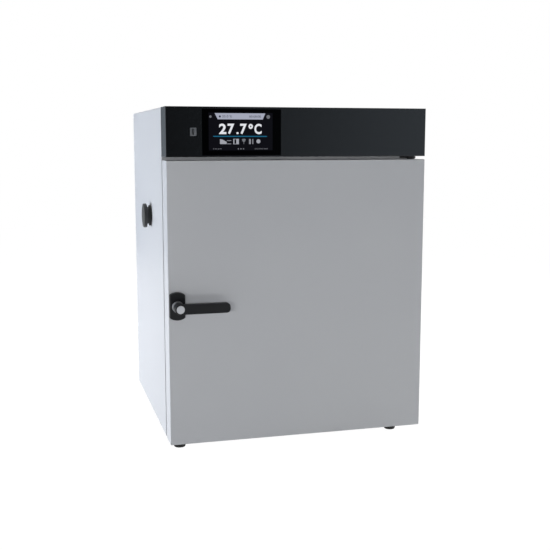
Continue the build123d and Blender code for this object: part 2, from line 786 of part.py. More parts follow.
with BuildPart() as fan_wheel:
    with BuildSketch(front_plane(y_fan + fan_blade_depth - fan_blade_thickness)):
        with Locations((x_middle, z_fan)):
            Circle(fan_radius)
    extrude(amount=-fan_blade_thickness)
    with BuildSketch(front_plane(y_fan)):
        with Locations((x_middle, z_fan)):
            Circle(fan_radius)
            Circle(fan_radius - fan_blade_length, mode=Mode.SUBTRACT)
    extrude(amount=-fan_blade_thickness)
    with BuildSketch(front_plane(y_fan)):
        blade_inner = fan_radius - fan_blade_length
        blade_outer = fan_radius - fan_blade_thickness
        blade_middle = (blade_inner + blade_outer) / 2
        for step in range(fan_blades):
            turn = 360 / fan_blades * step
            points = [(blade_inner, 0), (blade_middle, fan_blade_lean), (blade_outer, fan_blade_sweep)]
            placed = []
            for reach, sweep_angle in points:
                angle = radians(turn + sweep_angle)
                placed.append((x_middle + reach * cos(angle), z_fan + reach * sin(angle)))
            with BuildLine(mode=Mode.PRIVATE):
                blade_arc = ThreePointArc(*placed)
            SlotArc(blade_arc, fan_blade_thickness)
    extrude(amount=-fan_blade_depth)
    with BuildSketch(front_plane(shaft_front)):
        with Locations((x_middle, z_fan)):
            Circle(fan_hub_radius)
    extrude(amount=-fan_hub_length)
    bore(x_middle, z_fan, hub_bore)
fan_wheel.part.label = "fan_wheel"
export_step(fan_wheel.part, "parts/fan_wheel.step")

with BuildPart() as fan_shaft:
    with BuildSketch(front_plane(shaft_front)):
        with Locations((x_middle, z_fan)):
            Circle(shaft_radius)
    extrude(amount=-(shaft_back - shaft_front))
fan_shaft.part.label = "fan_shaft"
export_step(fan_shaft.part, "parts/fan_shaft.step")

with BuildPart() as motor_bracket:
    with BuildSketch(front_plane(y_mat_back)):
        with Locations((x_middle, z_fan)):
            RectangleRounded(motor_plate_size, motor_plate_size, motor_plate_corner)
            Circle(shaft_radius + mat_gap, mode=Mode.SUBTRACT)
    extrude(amount=-sheet)
    with BuildSketch(front_plane(y_mat_back)):
        with Locations((x_middle, z_fan)):
            with GridLocations(motor_leg_spacing, motor_leg_spacing, 2, 2):
                Circle(motor_leg_radius)
    extrude(amount=rear_mat)
motor_bracket.part.label = "motor_bracket"
export_step(motor_bracket.part, "parts/motor_bracket.step")

y_motor = y_mat_back + sheet
with BuildPart() as fan_motor:
    with BuildSketch(front_plane(y_motor)):
        with Locations((x_middle, z_fan)):
            Circle(motor_flange_radius)
    extrude(amount=-motor_flange)
    with BuildSketch(front_plane(y_motor + motor_flange)):
        with Locations((x_middle, z_fan)):
            Circle(motor_radius)
    extrude(amount=-motor_length)
    can_edges = fan_motor.edges().filter_by(GeomType.CIRCLE).group_by(Axis.Y)[-1]
    fillet(can_edges, motor_edge_radius)
    with BuildSketch(front_plane(y_motor)):
        with Locations((x_middle, z_fan)):
            Circle(shaft_radius + slip_gap)
    extrude(amount=-(shaft_back - y_motor + fit_gap), mode=Mode.SUBTRACT)
fan_motor.part.label = "fan_motor"
export_step(fan_motor.part, "parts/fan_motor.step")


# Temperature probe: a closed steel tube through the back wall and the baffle
with BuildPart() as temperature_probe:
    with BuildSketch(front_plane(y_baffle - probe_reach)):
        with Locations((x_probe, probe_height)):
            Circle(probe_radius)
    extrude(amount=-(y_probe_nut + probe_nut_length - y_baffle + probe_reach))
    with BuildSketch(front_plane(y_wall_back)):
        with Locations((x_probe, probe_height)):
            RegularPolygon(probe_nut_radius, 6)
    extrude(amount=-probe_nut_length)
temperature_probe.part.label = "temperature_probe"
export_step(temperature_probe.part, "parts/temperature_probe.step")


# Access port: a steel tube through the left mat, a flange outside and a plug
port_centre = (y_port, port_height)
tube_outer = port_bore + port_tube_wall

with BuildPart() as port_tube:
    with BuildSketch(side_plane(x_left)):
        with Locations(port_centre):
            Circle(tube_outer)
            Circle(port_bore, mode=Mode.SUBTRACT)
    extrude(amount=x_chamber_left - chamber_sheet - x_left)
port_tube.part.label = "port_tube"
export_step(port_tube.part, "parts/port_tube.step")

with BuildPart() as port_flange:
    with BuildSketch(side_plane(x_left)):
        with Locations(port_centre):
            Circle(port_flange_radius)
            Circle(port_bore, mode=Mode.SUBTRACT)
    extrude(amount=-port_flange_thickness)
    outer_rim = port_flange.edges().group_by(Axis.X)[0].sort_by(SortBy.RADIUS)[-1]
    fillet(outer_rim, port_flange_edge)
port_flange.part.label = "port_flange"
export_step(port_flange.part, "parts/port_flange.step")

head_back = port_reach - port_head_thickness
with BuildPart() as port_plug:
    with BuildSketch(side_plane(x_left - port_reach)):
        with Locations(port_centre):
            Circle(port_head_radius)
    extrude(amount=port_head_thickness)
    head_rims = port_plug.edges().filter_by(GeomType.CIRCLE)
    fillet(head_rims, port_head_edge)
    with BuildSketch(side_plane(x_left - head_back)):
        with Locations(port_centre):
            Circle(port_waist_radius)
    extrude(amount=head_back - port_flange_thickness - fit_gap)
    with BuildSketch(side_plane(x_left - head_back)):
        with Locations(port_centre):
            Circle(port_stem_radius)
    extrude(amount=head_back + port_stem_length)
    stem_rim = port_plug.edges().filter_by(GeomType.CIRCLE).group_by(Axis.X)[-1]
    chamfer(stem_rim, port_head_edge)
port_plug.part.label = "port_plug"
export_step(port_plug.part, "parts/port_plug.step")


# Exhaust: a duct from the chamber's back wall, with a damper flap on a spindle behind the cover
exhaust_outer = exhaust_bore + exhaust_wall
flap_radius = exhaust_bore - damper_play
knob_inner_face = x_exhaust + exhaust_outer + fit_gap
spindle_hole = damper_spindle_radius + slip_gap

with BuildPart() as exhaust_duct:
    with BuildSketch(front_plane(y_wall_back)):
        with Locations((x_exhaust, exhaust_height)):
            Circle(exhaust_outer)
            Circle(exhaust_bore, mode=Mode.SUBTRACT)
    extrude(amount=-(y_back + exhaust_reach - stub_length - y_wall_back))
    with BuildSketch(front_plane(y_back + exhaust_reach)):
        with Locations((x_exhaust, exhaust_height)):
            Circle(exhaust_bore + stub_wall)
            Circle(exhaust_bore, mode=Mode.SUBTRACT)
    extrude(amount=stub_length)
    with BuildSketch(side_plane(x_exhaust - exhaust_bore - exhaust_wall / 2)):
        with Locations((y_damper, exhaust_height)):
            Circle(spindle_hole)
    extrude(amount=2 * exhaust_outer, mode=Mode.SUBTRACT)
exhaust_duct.part.label = "exhaust_duct"
export_step(exhaust_duct.part, "parts/exhaust_duct.step")

with BuildPart() as damper_flap:
    with BuildSketch(front_plane(y_damper - damper_thickness / 2)):
        with Locations((x_exhaust, exhaust_height)):
            Circle(flap_radius)
    extrude(amount=-damper_thickness)
    with BuildSketch(side_plane(x_exhaust - exhaust_bore - exhaust_wall / 2 + slip_gap)):
        with Locations((y_damper, exhaust_height)):
            Circle(damper_spindle_radius)
    extrude(amount=exhaust_bore + exhaust_wall / 2 + exhaust_outer + damper_knob_length / 2)
damper_flap.part.label = "damper_flap"
export_step(damper_flap.part, "parts/damper_flap.step")

with BuildPart() as damper_knob:
    with BuildSketch(side_plane(knob_inner_face)):
        with Locations((y_damper, exhaust_height)):
            Circle(damper_knob_radius)
    extrude(amount=damper_knob_length)
    knob_face = damper_knob.faces().sort_by(Axis.X)[-1]
    fillet(knob_face.edges(), damper_knob_edge)
    with BuildSketch(side_plane(knob_inner_face)):
        with Locations((y_damper, exhaust_height)):
            Circle(damper_spindle_radius + press_gap)
    extrude(amount=damper_knob_length / 2, mode=Mode.SUBTRACT)
damper_knob.part.label = "damper_knob"
export_step(damper_knob.part, "parts/damper_knob.step")


# Control panel: a housing on the body's front, open towards the frame
arm_clearance = hinge_arm_width + 2 * fit_gap
with BuildPart() as control_panel:
    with BuildSketch(front_plane(y_front)):
        with Locations((x_middle, z_panel + panel_height / 2)):
            Rectangle(cabinet_width, panel_height)
    extrude(amount=-panel_depth)
    front_edges = control_panel.faces().sort_by(Axis.Y)[0].edges()
    fillet(front_edges, panel_edge_radius)
    with BuildSketch(front_plane(y_front + panel_wall)):
        with Locations((x_middle, z_panel + panel_height / 2)):
            Rectangle(cabinet_width - 2 * panel_wall, panel_height - 2 * panel_wall)
    extrude(amount=-(panel_depth - panel_wall), mode=Mode.SUBTRACT)
    with BuildSketch(front_plane(y_front)):
        with Locations((x_glass, z_glass)):
            Rectangle(glass_width + fit_gap, glass_height + fit_gap)
    extrude(amount=-(glass_back - y_front), mode=Mode.SUBTRACT)
    with BuildSketch(front_plane(y_front)):
        with Locations((x_glass, z_glass)):
            window_width = glass_width - 2 * (module_side - fit_gap)
            window_height = glass_height - 2 * (module_end - fit_gap)
            Rectangle(window_width, window_height)
        with Locations((x_socket, z_socket)):
            Rectangle(socket_width + fit_gap, socket_height + fit_gap)
    extrude(amount=-panel_wall, mode=Mode.SUBTRACT)
    with BuildSketch(level(z_panel)):
        with Locations((x_hinge, y_body - hinge_leaf_thickness / 2)):
            Rectangle(arm_clearance, hinge_leaf_thickness + 2 * fit_gap)
    extrude(amount=panel_wall, mode=Mode.SUBTRACT)
control_panel.part.label = "control_panel"
export_step(control_panel.part, "parts/control_panel.step")

with BuildPart() as display_glass:
    with BuildSketch(front_plane(y_front - glass_proud)):
        with Locations((x_glass, z_glass)):
            RectangleRounded(glass_width, glass_height, glass_corner)
    extrude(amount=-glass_thickness)
display_glass.part.label = "display_glass"
export_step(display_glass.part, "parts/display_glass.step")

module_width = glass_width - 2 * module_side
module_height = glass_height - 2 * module_end
with BuildPart() as display_module:
    with BuildSketch(front_plane(glass_back)):
        with Locations((x_glass, z_glass)):
            Rectangle(module_width, module_height)
    extrude(amount=-module_thickness)
display_module.part.label = "display_module"
export_step(display_module.part, "parts/display_module.step")

y_board = y_front + board_setback
board_width = glass_width - 2 * board_side
board_height = glass_height - 2 * board_end
post_x = board_width / 2 - 1.5 * board_post_radius
post_z = board_height / 2 - 1.5 * board_post_radius
with BuildPart() as controller_board:
    with BuildSketch(front_plane(y_board)):
        with Locations((x_glass, z_glass)):
            RectangleRounded(board_width, board_height, board_post_radius)
    extrude(amount=-board_thickness)
    with BuildSketch(front_plane(y_front + panel_wall)):
        with Locations((x_glass, z_glass)):
            with GridLocations(2 * post_x, 2 * post_z, 2, 2):
                Circle(board_post_radius)
    extrude(amount=-(board_setback - panel_wall))
    with BuildSketch(front_plane(y_board + board_thickness)):
        with Locations((x_glass, z_glass)):
            with GridLocations(chip_across, chip_up, 3, 2):
                Rectangle(chip_width, chip_height)
    extrude(amount=-(chip_thickness + board_thickness))
controller_board.part.label = "controller_board"
export_step(controller_board.part, "parts/controller_board.step")

with BuildPart() as data_socket:
    with BuildSketch(front_plane(y_front - glass_proud / 2)):
        with Locations((x_socket, z_socket)):
            RectangleRounded(socket_width, socket_height, glass_corner)
    extrude(amount=-socket_depth)
    with BuildSketch(front_plane(y_front - glass_proud / 2)):
        with Locations((x_socket, z_socket)):
            Rectangle(socket_slot_width, socket_slot_height)
        with Locations((x_socket + (socket_slot_width - socket_tongue) / 2, z_socket)):
            Rectangle(socket_tongue, socket_slot_height - 2 * socket_wall, mode=Mode.SUBTRACT)
    extrude(amount=-(socket_depth - 2 * socket_wall), mode=Mode.SUBTRACT)
data_socket.part.label = "data_socket"
export_step(data_socket.part, "parts/data_socket.step")


# Electronics tray above the top mat, with what it carries
z_tray = z_mat_top
tray_top = z_tray + sheet
y_tray_front = y_body + sheet
y_tray_back = y_cover
with BuildPart() as electronics_tray:
    with BuildSketch(side_plane(x_left + sheet)):
        with Locations(((y_tray_front + y_tray_back) / 2, z_tray + tray_flange / 2)):
            Rectangle(y_tray_back - y_tray_front, tray_flange)
        with Locations(((y_tray_front + y_tray_back) / 2, tray_top + tray_flange / 2)):
            Rectangle(y_tray_back - y_tray_front - 2 * sheet, tray_flange, mode=Mode.SUBTRACT)
    extrude(amount=inside_width)
electronics_tray.part.label = "electronics_tray"
export_step(electronics_tray.part, "parts/electronics_tray.step")

with BuildPart() as power_supply:
    with BuildSketch(level(tray_top)):
        with Locations((x_middle + supply_across, y_plate_middle)):
            Rectangle(supply_width, supply_depth)
    extrude(amount=supply_height)
    chamfer(power_supply.edges().filter_by(Axis.Y).group_by(Axis.Z)[-1], supply_chamfer)
power_supply.part.label = "power_supply"
export_step(power_supply.part, "parts/power_supply.step")

x_sink = x_exhaust
fin_pitch = (sink_width - sink_fin) / (sink_fins - 1)
with BuildPart() as relay_heat_sink:
    with BuildSketch(level(tray_top)):
        with Locations((x_sink, y_plate_middle)):
            Rectangle(sink_width, sink_depth)
    extrude(amount=sink_base)
    with BuildSketch(level(tray_top + sink_base)):
        with Locations((x_sink, y_plate_middle)):
            with GridLocations(fin_pitch, 0, sink_fins, 1):
                Rectangle(sink_fin, sink_depth)
    extrude(amount=sink_fin_height)
relay_heat_sink.part.label = "relay_heat_sink"
export_step(relay_heat_sink.part, "parts/relay_heat_sink.step")

with BuildPart() as solid_state_relay:
    with BuildSketch(level(tray_top)):
        with Locations((x_sink, y_plate_middle + (sink_depth + relay_depth) / 2)):
            RectangleRounded(relay_width, relay_depth, relay_corner)
    extrude(amount=relay_height)
solid_state_relay.part.label = "solid_state_relay"
export_step(solid_state_relay.part, "parts/solid_state_relay.step")

with BuildPart() as safety_thermostat:
    with BuildSketch(level(tray_top)):
        with Locations((x_middle, y_plate_middle)):
            Circle(thermostat_radius)
    extrude(amount=thermostat_length)
    with BuildSketch(level(tray_top + thermostat_length)):
        with Locations((x_middle, y_plate_middle)):
            Circle(thermostat_stem_radius)
    extrude(amount=thermostat_stem_length)
safety_thermostat.part.label = "safety_thermostat"
export_step(safety_thermostat.part, "parts/safety_thermostat.step")


# Mains inlet: a flanged housing in the rear cover, with three pins in its recess
with BuildPart() as power_inlet:
    with BuildSketch(front_plane(y_back)):
        with Locations((x_inlet, electrics_height)):
            RectangleRounded(inlet_flange_width, inlet_flange_height, inlet_corner)
    extrude(amount=-inlet_flange)
    with BuildSketch(front_plane(y_back - inlet_depth)):
        with Locations((x_inlet, electrics_height)):
            Rectangle(inlet_width, inlet_height)
    extrude(amount=-inlet_depth)
    recess_width = inlet_width - 2 * inlet_wall
    recess_height = inlet_height - 2 * inlet_wall
    with BuildSketch(front_plane(y_back + inlet_flange)) as recess:
        with Locations((x_inlet, electrics_height)):
            Rectangle(recess_width, recess_height)
        chamfer(recess.vertices().group_by(Axis.Y)[-1], inlet_key)
    extrude(amount=inlet_recess, mode=Mode.SUBTRACT)
    with BuildSketch(front_plane(y_back + inlet_flange - inlet_recess)):
        with Locations((x_inlet, electrics_height - inlet_pin_rise)):
            with GridLocations(2 * inlet_pin_spacing, 0, 2, 1):
                Rectangle(inlet_pin_width, inlet_pin_height)
        with Locations((x_inlet, electrics_height + inlet_pin_rise)):
            Rectangle(inlet_pin_width, inlet_pin_height)
    extrude(amount=-inlet_pin_length)
power_inlet.part.label = "power_inlet"
export_step(power_inlet.part, "parts/power_inlet.step")


# Main switch: a housing in the rear cover and a rocker on two short pins
rocker_width = switch_width - 2 * switch_wall - 2 * rocker_play
rocker_height = switch_height - 2 * switch_wall - 2 * rocker_play
pocket_depth = switch_depth - switch_wall
with BuildPart() as switch_housing:
    with BuildSketch(front_plane(y_back - switch_depth)):
        with Locations((x_switch, electrics_height)):
            Rectangle(switch_width, switch_height)
    extrude(amount=-switch_depth)
    with BuildSketch(front_plane(y_back)):
        with Locations((x_switch, electrics_height)):
            RectangleRounded(switch_width + 2 * switch_rim, switch_height + 2 * switch_rim, switch_rim / 2)
    extrude(amount=-sheet)
    with BuildSketch(front_plane(y_back + sheet)):
        with Locations((x_switch, electrics_height)):
            Rectangle(switch_width - 2 * switch_wall, switch_height - 2 * switch_wall)
    extrude(amount=pocket_depth, mode=Mode.SUBTRACT)
    with BuildSketch(side_plane(x_switch - switch_width / 2 + switch_wall / 2)):
        with Locations((y_rocker, electrics_height)):
            Circle(rocker_pin_radius + slip_gap)
    extrude(amount=switch_width - switch_wall, mode=Mode.SUBTRACT)
switch_housing.part.label = "switch_housing"
export_step(switch_housing.part, "parts/switch_housing.step")

tilt = radians(rocker_tilt)
rocker_side = Plane(
    (x_switch - rocker_width / 2, y_rocker, electrics_height),
    x_dir=(0, cos(tilt), sin(tilt)),
    z_dir=(1, 0, 0),
)
face_reach = rocker_pivot_depth + sheet + rocker_crown
with BuildPart() as power_rocker:
    with BuildSketch(rocker_side):
        with BuildLine():
            half = rocker_height / 2
            face_top = (face_reach, half * rocker_face_share)
            face_bottom = (face_reach, -half * rocker_face_share)
            back_bottom = (-rocker_pivot_depth / 2, -half * rocker_back_share)
            back_top = (-rocker_pivot_depth / 2, half * rocker_back_share)
            ThreePointArc(face_top, (face_reach - 2 * rocker_crown, 0), face_bottom)
            Polyline(face_bottom, back_bottom, back_top, face_top)
        make_face()
    extrude(amount=rocker_width)
    with BuildSketch(side_plane(x_switch - switch_width / 2 + switch_wall / 2 + slip_gap)):
        with Locations((y_rocker, electrics_height)):
            Circle(rocker_pin_radius)
    extrude(amount=switch_width - switch_wall - 2 * slip_gap)
power_rocker.part.label = "power_rocker"
export_step(power_rocker.part, "parts/power_rocker.step")


# Hinge: an arm at the top and one at the bottom, each with its pin, and two flanged bushes in the door
def hinge_arm(z_low, y_end):
    """A flat arm with a round front end about the hinge's axis, up to y_end at the back."""
    with BuildSketch(level(z_low)) as arm:
        with Locations((x_hinge, (y_hinge + y_end) / 2)):
            Rectangle(hinge_arm_width, y_end - y_hinge)
        with Locations((x_hinge, y_hinge)):
            Circle(hinge_arm_width / 2)
    extrude(arm.sketch, amount=hinge_arm_thickness)


with BuildPart() as hinge_bracket_top:
    hinge_arm(z_top_arm, y_body)
    with BuildSketch(front_plane(y_body)):
        leaf_total = hinge_arm_thickness + hinge_leaf_height
        with Locations((x_hinge, z_top_arm + leaf_total / 2)):
            Rectangle(hinge_arm_width, leaf_total)
    extrude(amount=hinge_leaf_thickness)
    for z in top_screws:
        bore(x_hinge, z, screw_radius + slip_gap)
    with BuildSketch(level(z_top_arm)):
        with Locations((x_hinge, y_hinge)):
            Circle(hinge_pin_radius)
    extrude(amount=-(bush_flange + fit_gap + hinge_pin_reach))
    pin_end = hinge_bracket_top.faces().sort_by(Axis.Z)[0]
    chamfer(pin_end.edges(), hinge_pin_chamfer)
hinge_bracket_top.part.label = "hinge_bracket_top"
export_step(hinge_bracket_top.part, "parts/hinge_bracket_top.step")

with BuildPart() as hinge_bracket_bottom:
    hinge_arm(z_bottom_arm, y_body + hinge_foot_length)
    with BuildSketch(level(z_bottom_arm)):
        with Locations([(x_hinge, y) for y in bottom_screws]):
            Circle(screw_radius + slip_gap)
    extrude(amount=hinge_arm_thickness, mode=Mode.SUBTRACT)
    with BuildSketch(level(z_bottom_arm + hinge_arm_thickness)):
        with Locations((x_hinge, y_hinge)):
            Circle(hinge_pin_radius)
    extrude(amount=bush_flange + fit_gap + hinge_pin_reach)
    pin_end = hinge_bracket_bottom.faces().sort_by(Axis.Z)[-1]
    chamfer(pin_end.edges(), hinge_pin_chamfer)
hinge_bracket_bottom.part.label = "hinge_bracket_bottom"
export_step(hinge_bracket_bottom.part, "parts/hinge_bracket_bottom.step")

with BuildPart() as hinge_screws:
    leaf_face = y_body - hinge_leaf_thickness
    arm_face = z_bottom_arm + hinge_arm_thickness
    with BuildSketch(front_plane(leaf_face)):
        with Locations([(x_hinge, z) for z in top_screws]):
            Circle(screw_head_radius)
    extrude(amount=screw_head_height)
    with BuildSketch(front_plane(leaf_face)):
        with Locations([(x_hinge, z) for z in top_screws]):
            Circle(screw_radius)
    extrude(amount=-(hinge_leaf_thickness + 3 * sheet))
    with BuildSketch(level(arm_face)):
        with Locations([(x_hinge, y) for y in bottom_screws]):
            Circle(screw_head_radius)
    extrude(amount=screw_head_height)
    with BuildSketch(level(arm_face)):
        with Locations([(x_hinge, y) for y in bottom_screws]):
            Circle(screw_radius)
    extrude(amount=-(hinge_arm_thickness + sheet))
hinge_screws.part.label = "hinge_screws"
export_step(hinge_screws.part, "parts/hinge_screws.step")

with BuildPart() as hinge_bushes:
    for z_seat, outward in ((z_door_top, 1), (z_door_floor, -1)):
        with BuildSketch(level(z_seat)):
            with Locations((x_hinge, y_hinge)):
                Circle(bush_flange_radius)
        extrude(amount=outward * bush_flange)
        with BuildSketch(level(z_seat)):
            with Locations((x_hinge, y_hinge)):
                Circle(bush_radius)
        extrude(amount=-outward * (hinge_pin_reach + bush_end_gap))
    with BuildSketch(level(0)):
        with Locations((x_hinge, y_hinge)):
            Circle(hinge_pin_radius + slip_gap)
    extrude(amount=z_top, mode=Mode.SUBTRACT)
hinge_bushes.part.label = "hinge_bushes"
export_step(hinge_bushes.part, "parts/hinge_bushes.step")


# Striker post: a turned post on the front frame, which the latch claw goes around
with BuildPart() as striker_post:
    with BuildSketch(front_plane(y_body)):
        with Locations((x_handle, z_post)):
            Circle(post_flange_radius)
    extrude(amount=post_flange)
    with BuildSketch(front_plane(y_body)):
        with Locations((x_handle, z_post)):
            Circle(post_radius)
    extrude(amount=seal_gap - 2 * fit_gap)
    tip = striker_post.faces().sort_by(Axis.Y)[0]
    chamfer(tip.edges(), post_chamfer)
    with BuildSketch(front_plane(y_body)):
        with Locations((x_handle, z_post)):
            Circle(screw_radius)
    extrude(amount=-(sheet + post_tail - post_flange))
striker_post.part.label = "striker_post"
export_step(striker_post.part, "parts/striker_post.step")


# Feet: rubber, tapering towards the floor
for place, (foot_x, foot_y) in foot_places.items():
    with BuildPart() as foot:
        with BuildSketch(front_plane(foot_y)):
            with BuildLine():
                Polyline(
                    (foot_x, 0),
                    (foot_x + foot_base_radius, 0),
                    (foot_x + foot_radius, foot_height - foot_band),
                    (foot_x + foot_radius, foot_height),
                    (foot_x, foot_height),
                    close=True,
                )
            make_face()
        revolve(axis=Axis((foot_x, foot_y, 0), (0, 0, 1)))
        rings = foot.edges().filter_by(GeomType.CIRCLE).group_by(Axis.Z)
        fillet(rings[0] + rings[1], foot_edge_radius)
    foot.part.label = f"foot_{place}"
    export_step(foot.part, f"parts/foot_{place}.step")


# Door shell: a folded pan, closed by the liner at the back
door_inner_top = z_door_top - sheet
door_inner_floor = z_door_floor + sheet
inner_middle_z = (door_inner_top + door_inner_floor) / 2
inner_height_z = door_inner_top - door_inner_floor

with BuildPart() as door_shell:
    with BuildSketch(front_plane(y_front)):
        with Locations((x_middle, z_door_middle)):
            Rectangle(cabinet_width, door_height)
    extrude(amount=-door_thickness)
    fillet(door_shell.edges().filter_by(Axis.Z).group_by(Axis.Y)[0], door_edge_radius)
    face_edges = door_shell.faces().sort_by(Axis.Y)[0].edges().filter_by(Axis.X)
    fillet(face_edges, door_edge_radius)
    with BuildSketch(front_plane(y_front + sheet)):
        with Locations((x_middle, inner_middle_z)):
            Rectangle(inside_width, inner_height_z)
    extrude(amount=-door_thickness, mode=Mode.SUBTRACT)
    with BuildSketch(level(z_base)):
        with Locations((x_middle + sheet, (y_front + sheet + y_door_back) / 2)):
            Rectangle(cabinet_width, door_thickness - sheet)
    extrude(amount=z_door_floor - z_base, mode=Mode.SUBTRACT)
    with BuildSketch(level(z_base)):
        with Locations((x_hinge, y_hinge)):
            Circle(bush_radius + press_gap)
    extrude(amount=z_top, mode=Mode.SUBTRACT)
    bore(x_handle, z_handle, spindle_bore)
door_shell.part.label = "door_shell"
export_step(door_shell.part, "parts/door_shell.step")


# Door liner: a steel sheet with a raised middle that stands inside the gasket
seal_width = chamber_width + 2 * (chamber_rim - gasket_width - gasket_inset)
seal_height = chamber_height + 2 * (chamber_rim - gasket_width - gasket_inset)
plug_width = seal_width - 2 * plug_gap
plug_height = seal_height - 2 * plug_gap
y_liner = y_door_back - liner_sheet
with BuildPart() as door_liner:
    with BuildSketch(front_plane(y_liner)):
        with Locations((x_middle, inner_middle_z)):
            Rectangle(inside_width - 2 * fit_gap, inner_height_z - 2 * fit_gap)
    extrude(amount=-liner_sheet)
    with BuildSketch(front_plane(y_door_back)):
        with Locations((x_middle, z_door_middle)):
            RectangleRounded(plug_width, plug_height, plug_corner)
    extrude(amount=-plug_depth, taper=plug_slope)
    with BuildSketch(front_plane(y_liner)):
        with Locations((x_middle, z_door_middle)):
            hollow_width = plug_width - 2 * plug_wall
            hollow_height = plug_height - 2 * plug_wall
            RectangleRounded(hollow_width, hollow_height, plug_corner - plug_wall)
    extrude(amount=-plug_depth, taper=plug_slope, mode=Mode.SUBTRACT)
    bore(x_handle, z_handle, spindle_bore)
door_liner.part.label = "door_liner"
export_step(door_liner.part, "parts/door_liner.step")

with BuildPart() as door_insulation:
    with BuildSketch(front_plane(y_front + sheet)):
        with Locations((x_middle, inner_middle_z)):
            Rectangle(inside_width, inner_height_z)
    extrude(amount=-(y_liner - y_front - sheet))
    with BuildSketch(level(z_base)):
        with Locations((x_hinge, y_hinge)):
            Circle(bush_flange_radius + filling_gap)
    extrude(amount=door_height, mode=Mode.SUBTRACT)
    bore(x_handle, z_handle, spindle_radius + filling_gap)
door_insulation.part.label = "door_insulation"
export_step(door_insulation.part, "parts/door_insulation.step")

with BuildPart() as door_gasket:
    with BuildSketch(front_plane(y_door_back)):
        with Locations((x_middle, z_door_middle)):
            full_width = seal_width + 2 * gasket_width
            full_height = seal_height + 2 * gasket_width
            RectangleRounded(full_width, full_height, plug_corner + gasket_width)
            RectangleRounded(seal_width, seal_height, plug_corner, mode=Mode.SUBTRACT)
    extrude(amount=-(seal_gap - fit_gap))
    lip_edges = door_gasket.faces().sort_by(Axis.Y)[-1].edges()
    fillet(lip_edges, gasket_lip_radius)
door_gasket.part.label = "door_gasket"
export_step(door_gasket.part, "parts/door_gasket.step")


# Handle: an arched base, a collar, the lever with its cap, and the spindle with the latch claw
y_base_face = y_front - base_thickness
y_hub_back = y_base_face - collar_length
y_lever_face = y_front - handle_reach
base_straight = base_height / 2 - base_arch

with BuildPart() as handle_base:
    with BuildSketch(front_plane(y_front)) as base_outline:
        half = base_width / 2
        top_left = (x_handle - half, z_handle + base_straight)
        top_right = (x_handle + half, z_handle + base_straight)
        low_left = (x_handle - half, z_handle - base_straight)
        low_right = (x_handle + half, z_handle - base_straight)
        with BuildLine():
            Line(low_left, top_left)
            ThreePointArc(top_left, (x_handle, z_handle + base_height / 2), top_right)
            Line(top_right, low_right)
            ThreePointArc(low_right, (x_handle, z_handle - base_height / 2), low_left)
        make_face()
        fillet(base_outline.vertices(), base_corner)
    extrude(amount=base_thickness)
    base_rim = handle_base.faces().sort_by(Axis.Y)[0].edges()
    fillet(base_rim, base_edge_radius)
    bore(x_handle, z_handle, spindle_bore)
handle_base.part.label = "handle_base"
export_step(handle_base.part, "parts/handle_base.step")

with BuildPart() as handle_collar:
    with BuildSketch(front_plane(y_base_face)):
        with Locations((x_handle, z_handle)):
            Circle(collar_radius)
    extrude(amount=collar_length - fit_gap)
    collar_rim = handle_collar.faces().sort_by(Axis.Y)[0].edges()
    fillet(collar_rim, collar_edge_radius)
    bore(x_handle, z_handle, spindle_bore)
handle_collar.part.label = "handle_collar"
export_step(handle_collar.part, "parts/handle_collar.step")

cap_seat = cap_thickness - cap_proud
with BuildPart() as handle_lever:
    with BuildSketch(front_plane(y_hub_back)):
        with Locations((x_handle, z_handle)):
            Circle(hub_radius)
    extrude(amount=y_hub_back - y_lever_face)
    with BuildSketch(front_plane(y_lever_face)) as arm_outline:
        with Locations((x_handle + lever_length / 2, z_handle)):
            Rectangle(lever_length, lever_height)
        fillet(arm_outline.vertices().group_by(Axis.X)[-1], lever_corner)
    extrude(amount=-lever_thickness)
    lever_rim = handle_lever.faces().sort_by(Axis.Y)[0].edges()
    fillet(lever_rim, lever_edge_radius)
    with BuildSketch(front_plane(y_lever_face)):
        with Locations((x_handle, z_handle)):
            Circle(cap_radius + slip_gap)
    extrude(amount=-cap_seat, mode=Mode.SUBTRACT)
    with BuildSketch(front_plane(spindle_front)):
        with Locations((x_handle, z_handle)):
            Circle(spindle_radius + press_gap)
    extrude(amount=-cabinet_depth, mode=Mode.SUBTRACT)
handle_lever.part.label = "handle_lever"
export_step(handle_lever.part, "parts/handle_lever.step")

with BuildPart() as handle_cap:
    with BuildSketch(front_plane(y_lever_face + cap_seat)):
        with Locations((x_handle, z_handle)):
            Circle(cap_radius)
    extrude(amount=cap_thickness)
    fillet(handle_cap.faces().sort_by(Axis.Y)[0].edges(), cap_edge_radius)
handle_cap.part.label = "handle_cap"
export_step(handle_cap.part, "parts/handle_cap.step")

y_claw_back = y_claw + claw_thickness
with BuildPart() as latch_spindle:
    with BuildSketch(front_plane(spindle_front)):
        with Locations((x_handle, z_handle)):
            Circle(spindle_radius)
    extrude(amount=-(y_claw_back - spindle_front))
latch_spindle.part.label = "latch_spindle"
export_step(latch_spindle.part, "parts/latch_spindle.step")

with BuildPart() as latch_claw:
    with BuildSketch(front_plane(y_claw)):
        with Locations((x_handle, z_handle + claw_reach / 2)):
            SlotCenterToCenter(claw_reach, 2 * claw_half_width, rotation=90)
        with BuildLine(mode=Mode.PRIVATE):
            slot_path = CenterArc((x_handle, z_handle), claw_reach, 90, claw_slot_angle)
        SlotArc(slot_path, 2 * (post_radius + claw_play), mode=Mode.SUBTRACT)
        with Locations((x_handle, z_handle)):
            Circle(spindle_radius + press_gap, mode=Mode.SUBTRACT)
    extrude(amount=-claw_thickness)
latch_claw.part.label = "latch_claw"
export_step(latch_claw.part, "parts/latch_claw.step")
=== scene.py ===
# %% [markdown]
# A laboratory drying oven, dressed on its CAD solids.
# The CAD model already has the true sizes of every panel, shelf and screw, so this script
# gives each solid its finish, adds what is too fine for CAD, and sets up a pale studio.
# Every length is in metres: X runs to the right, Y to the back, Z up, with the floor at Z = 0.

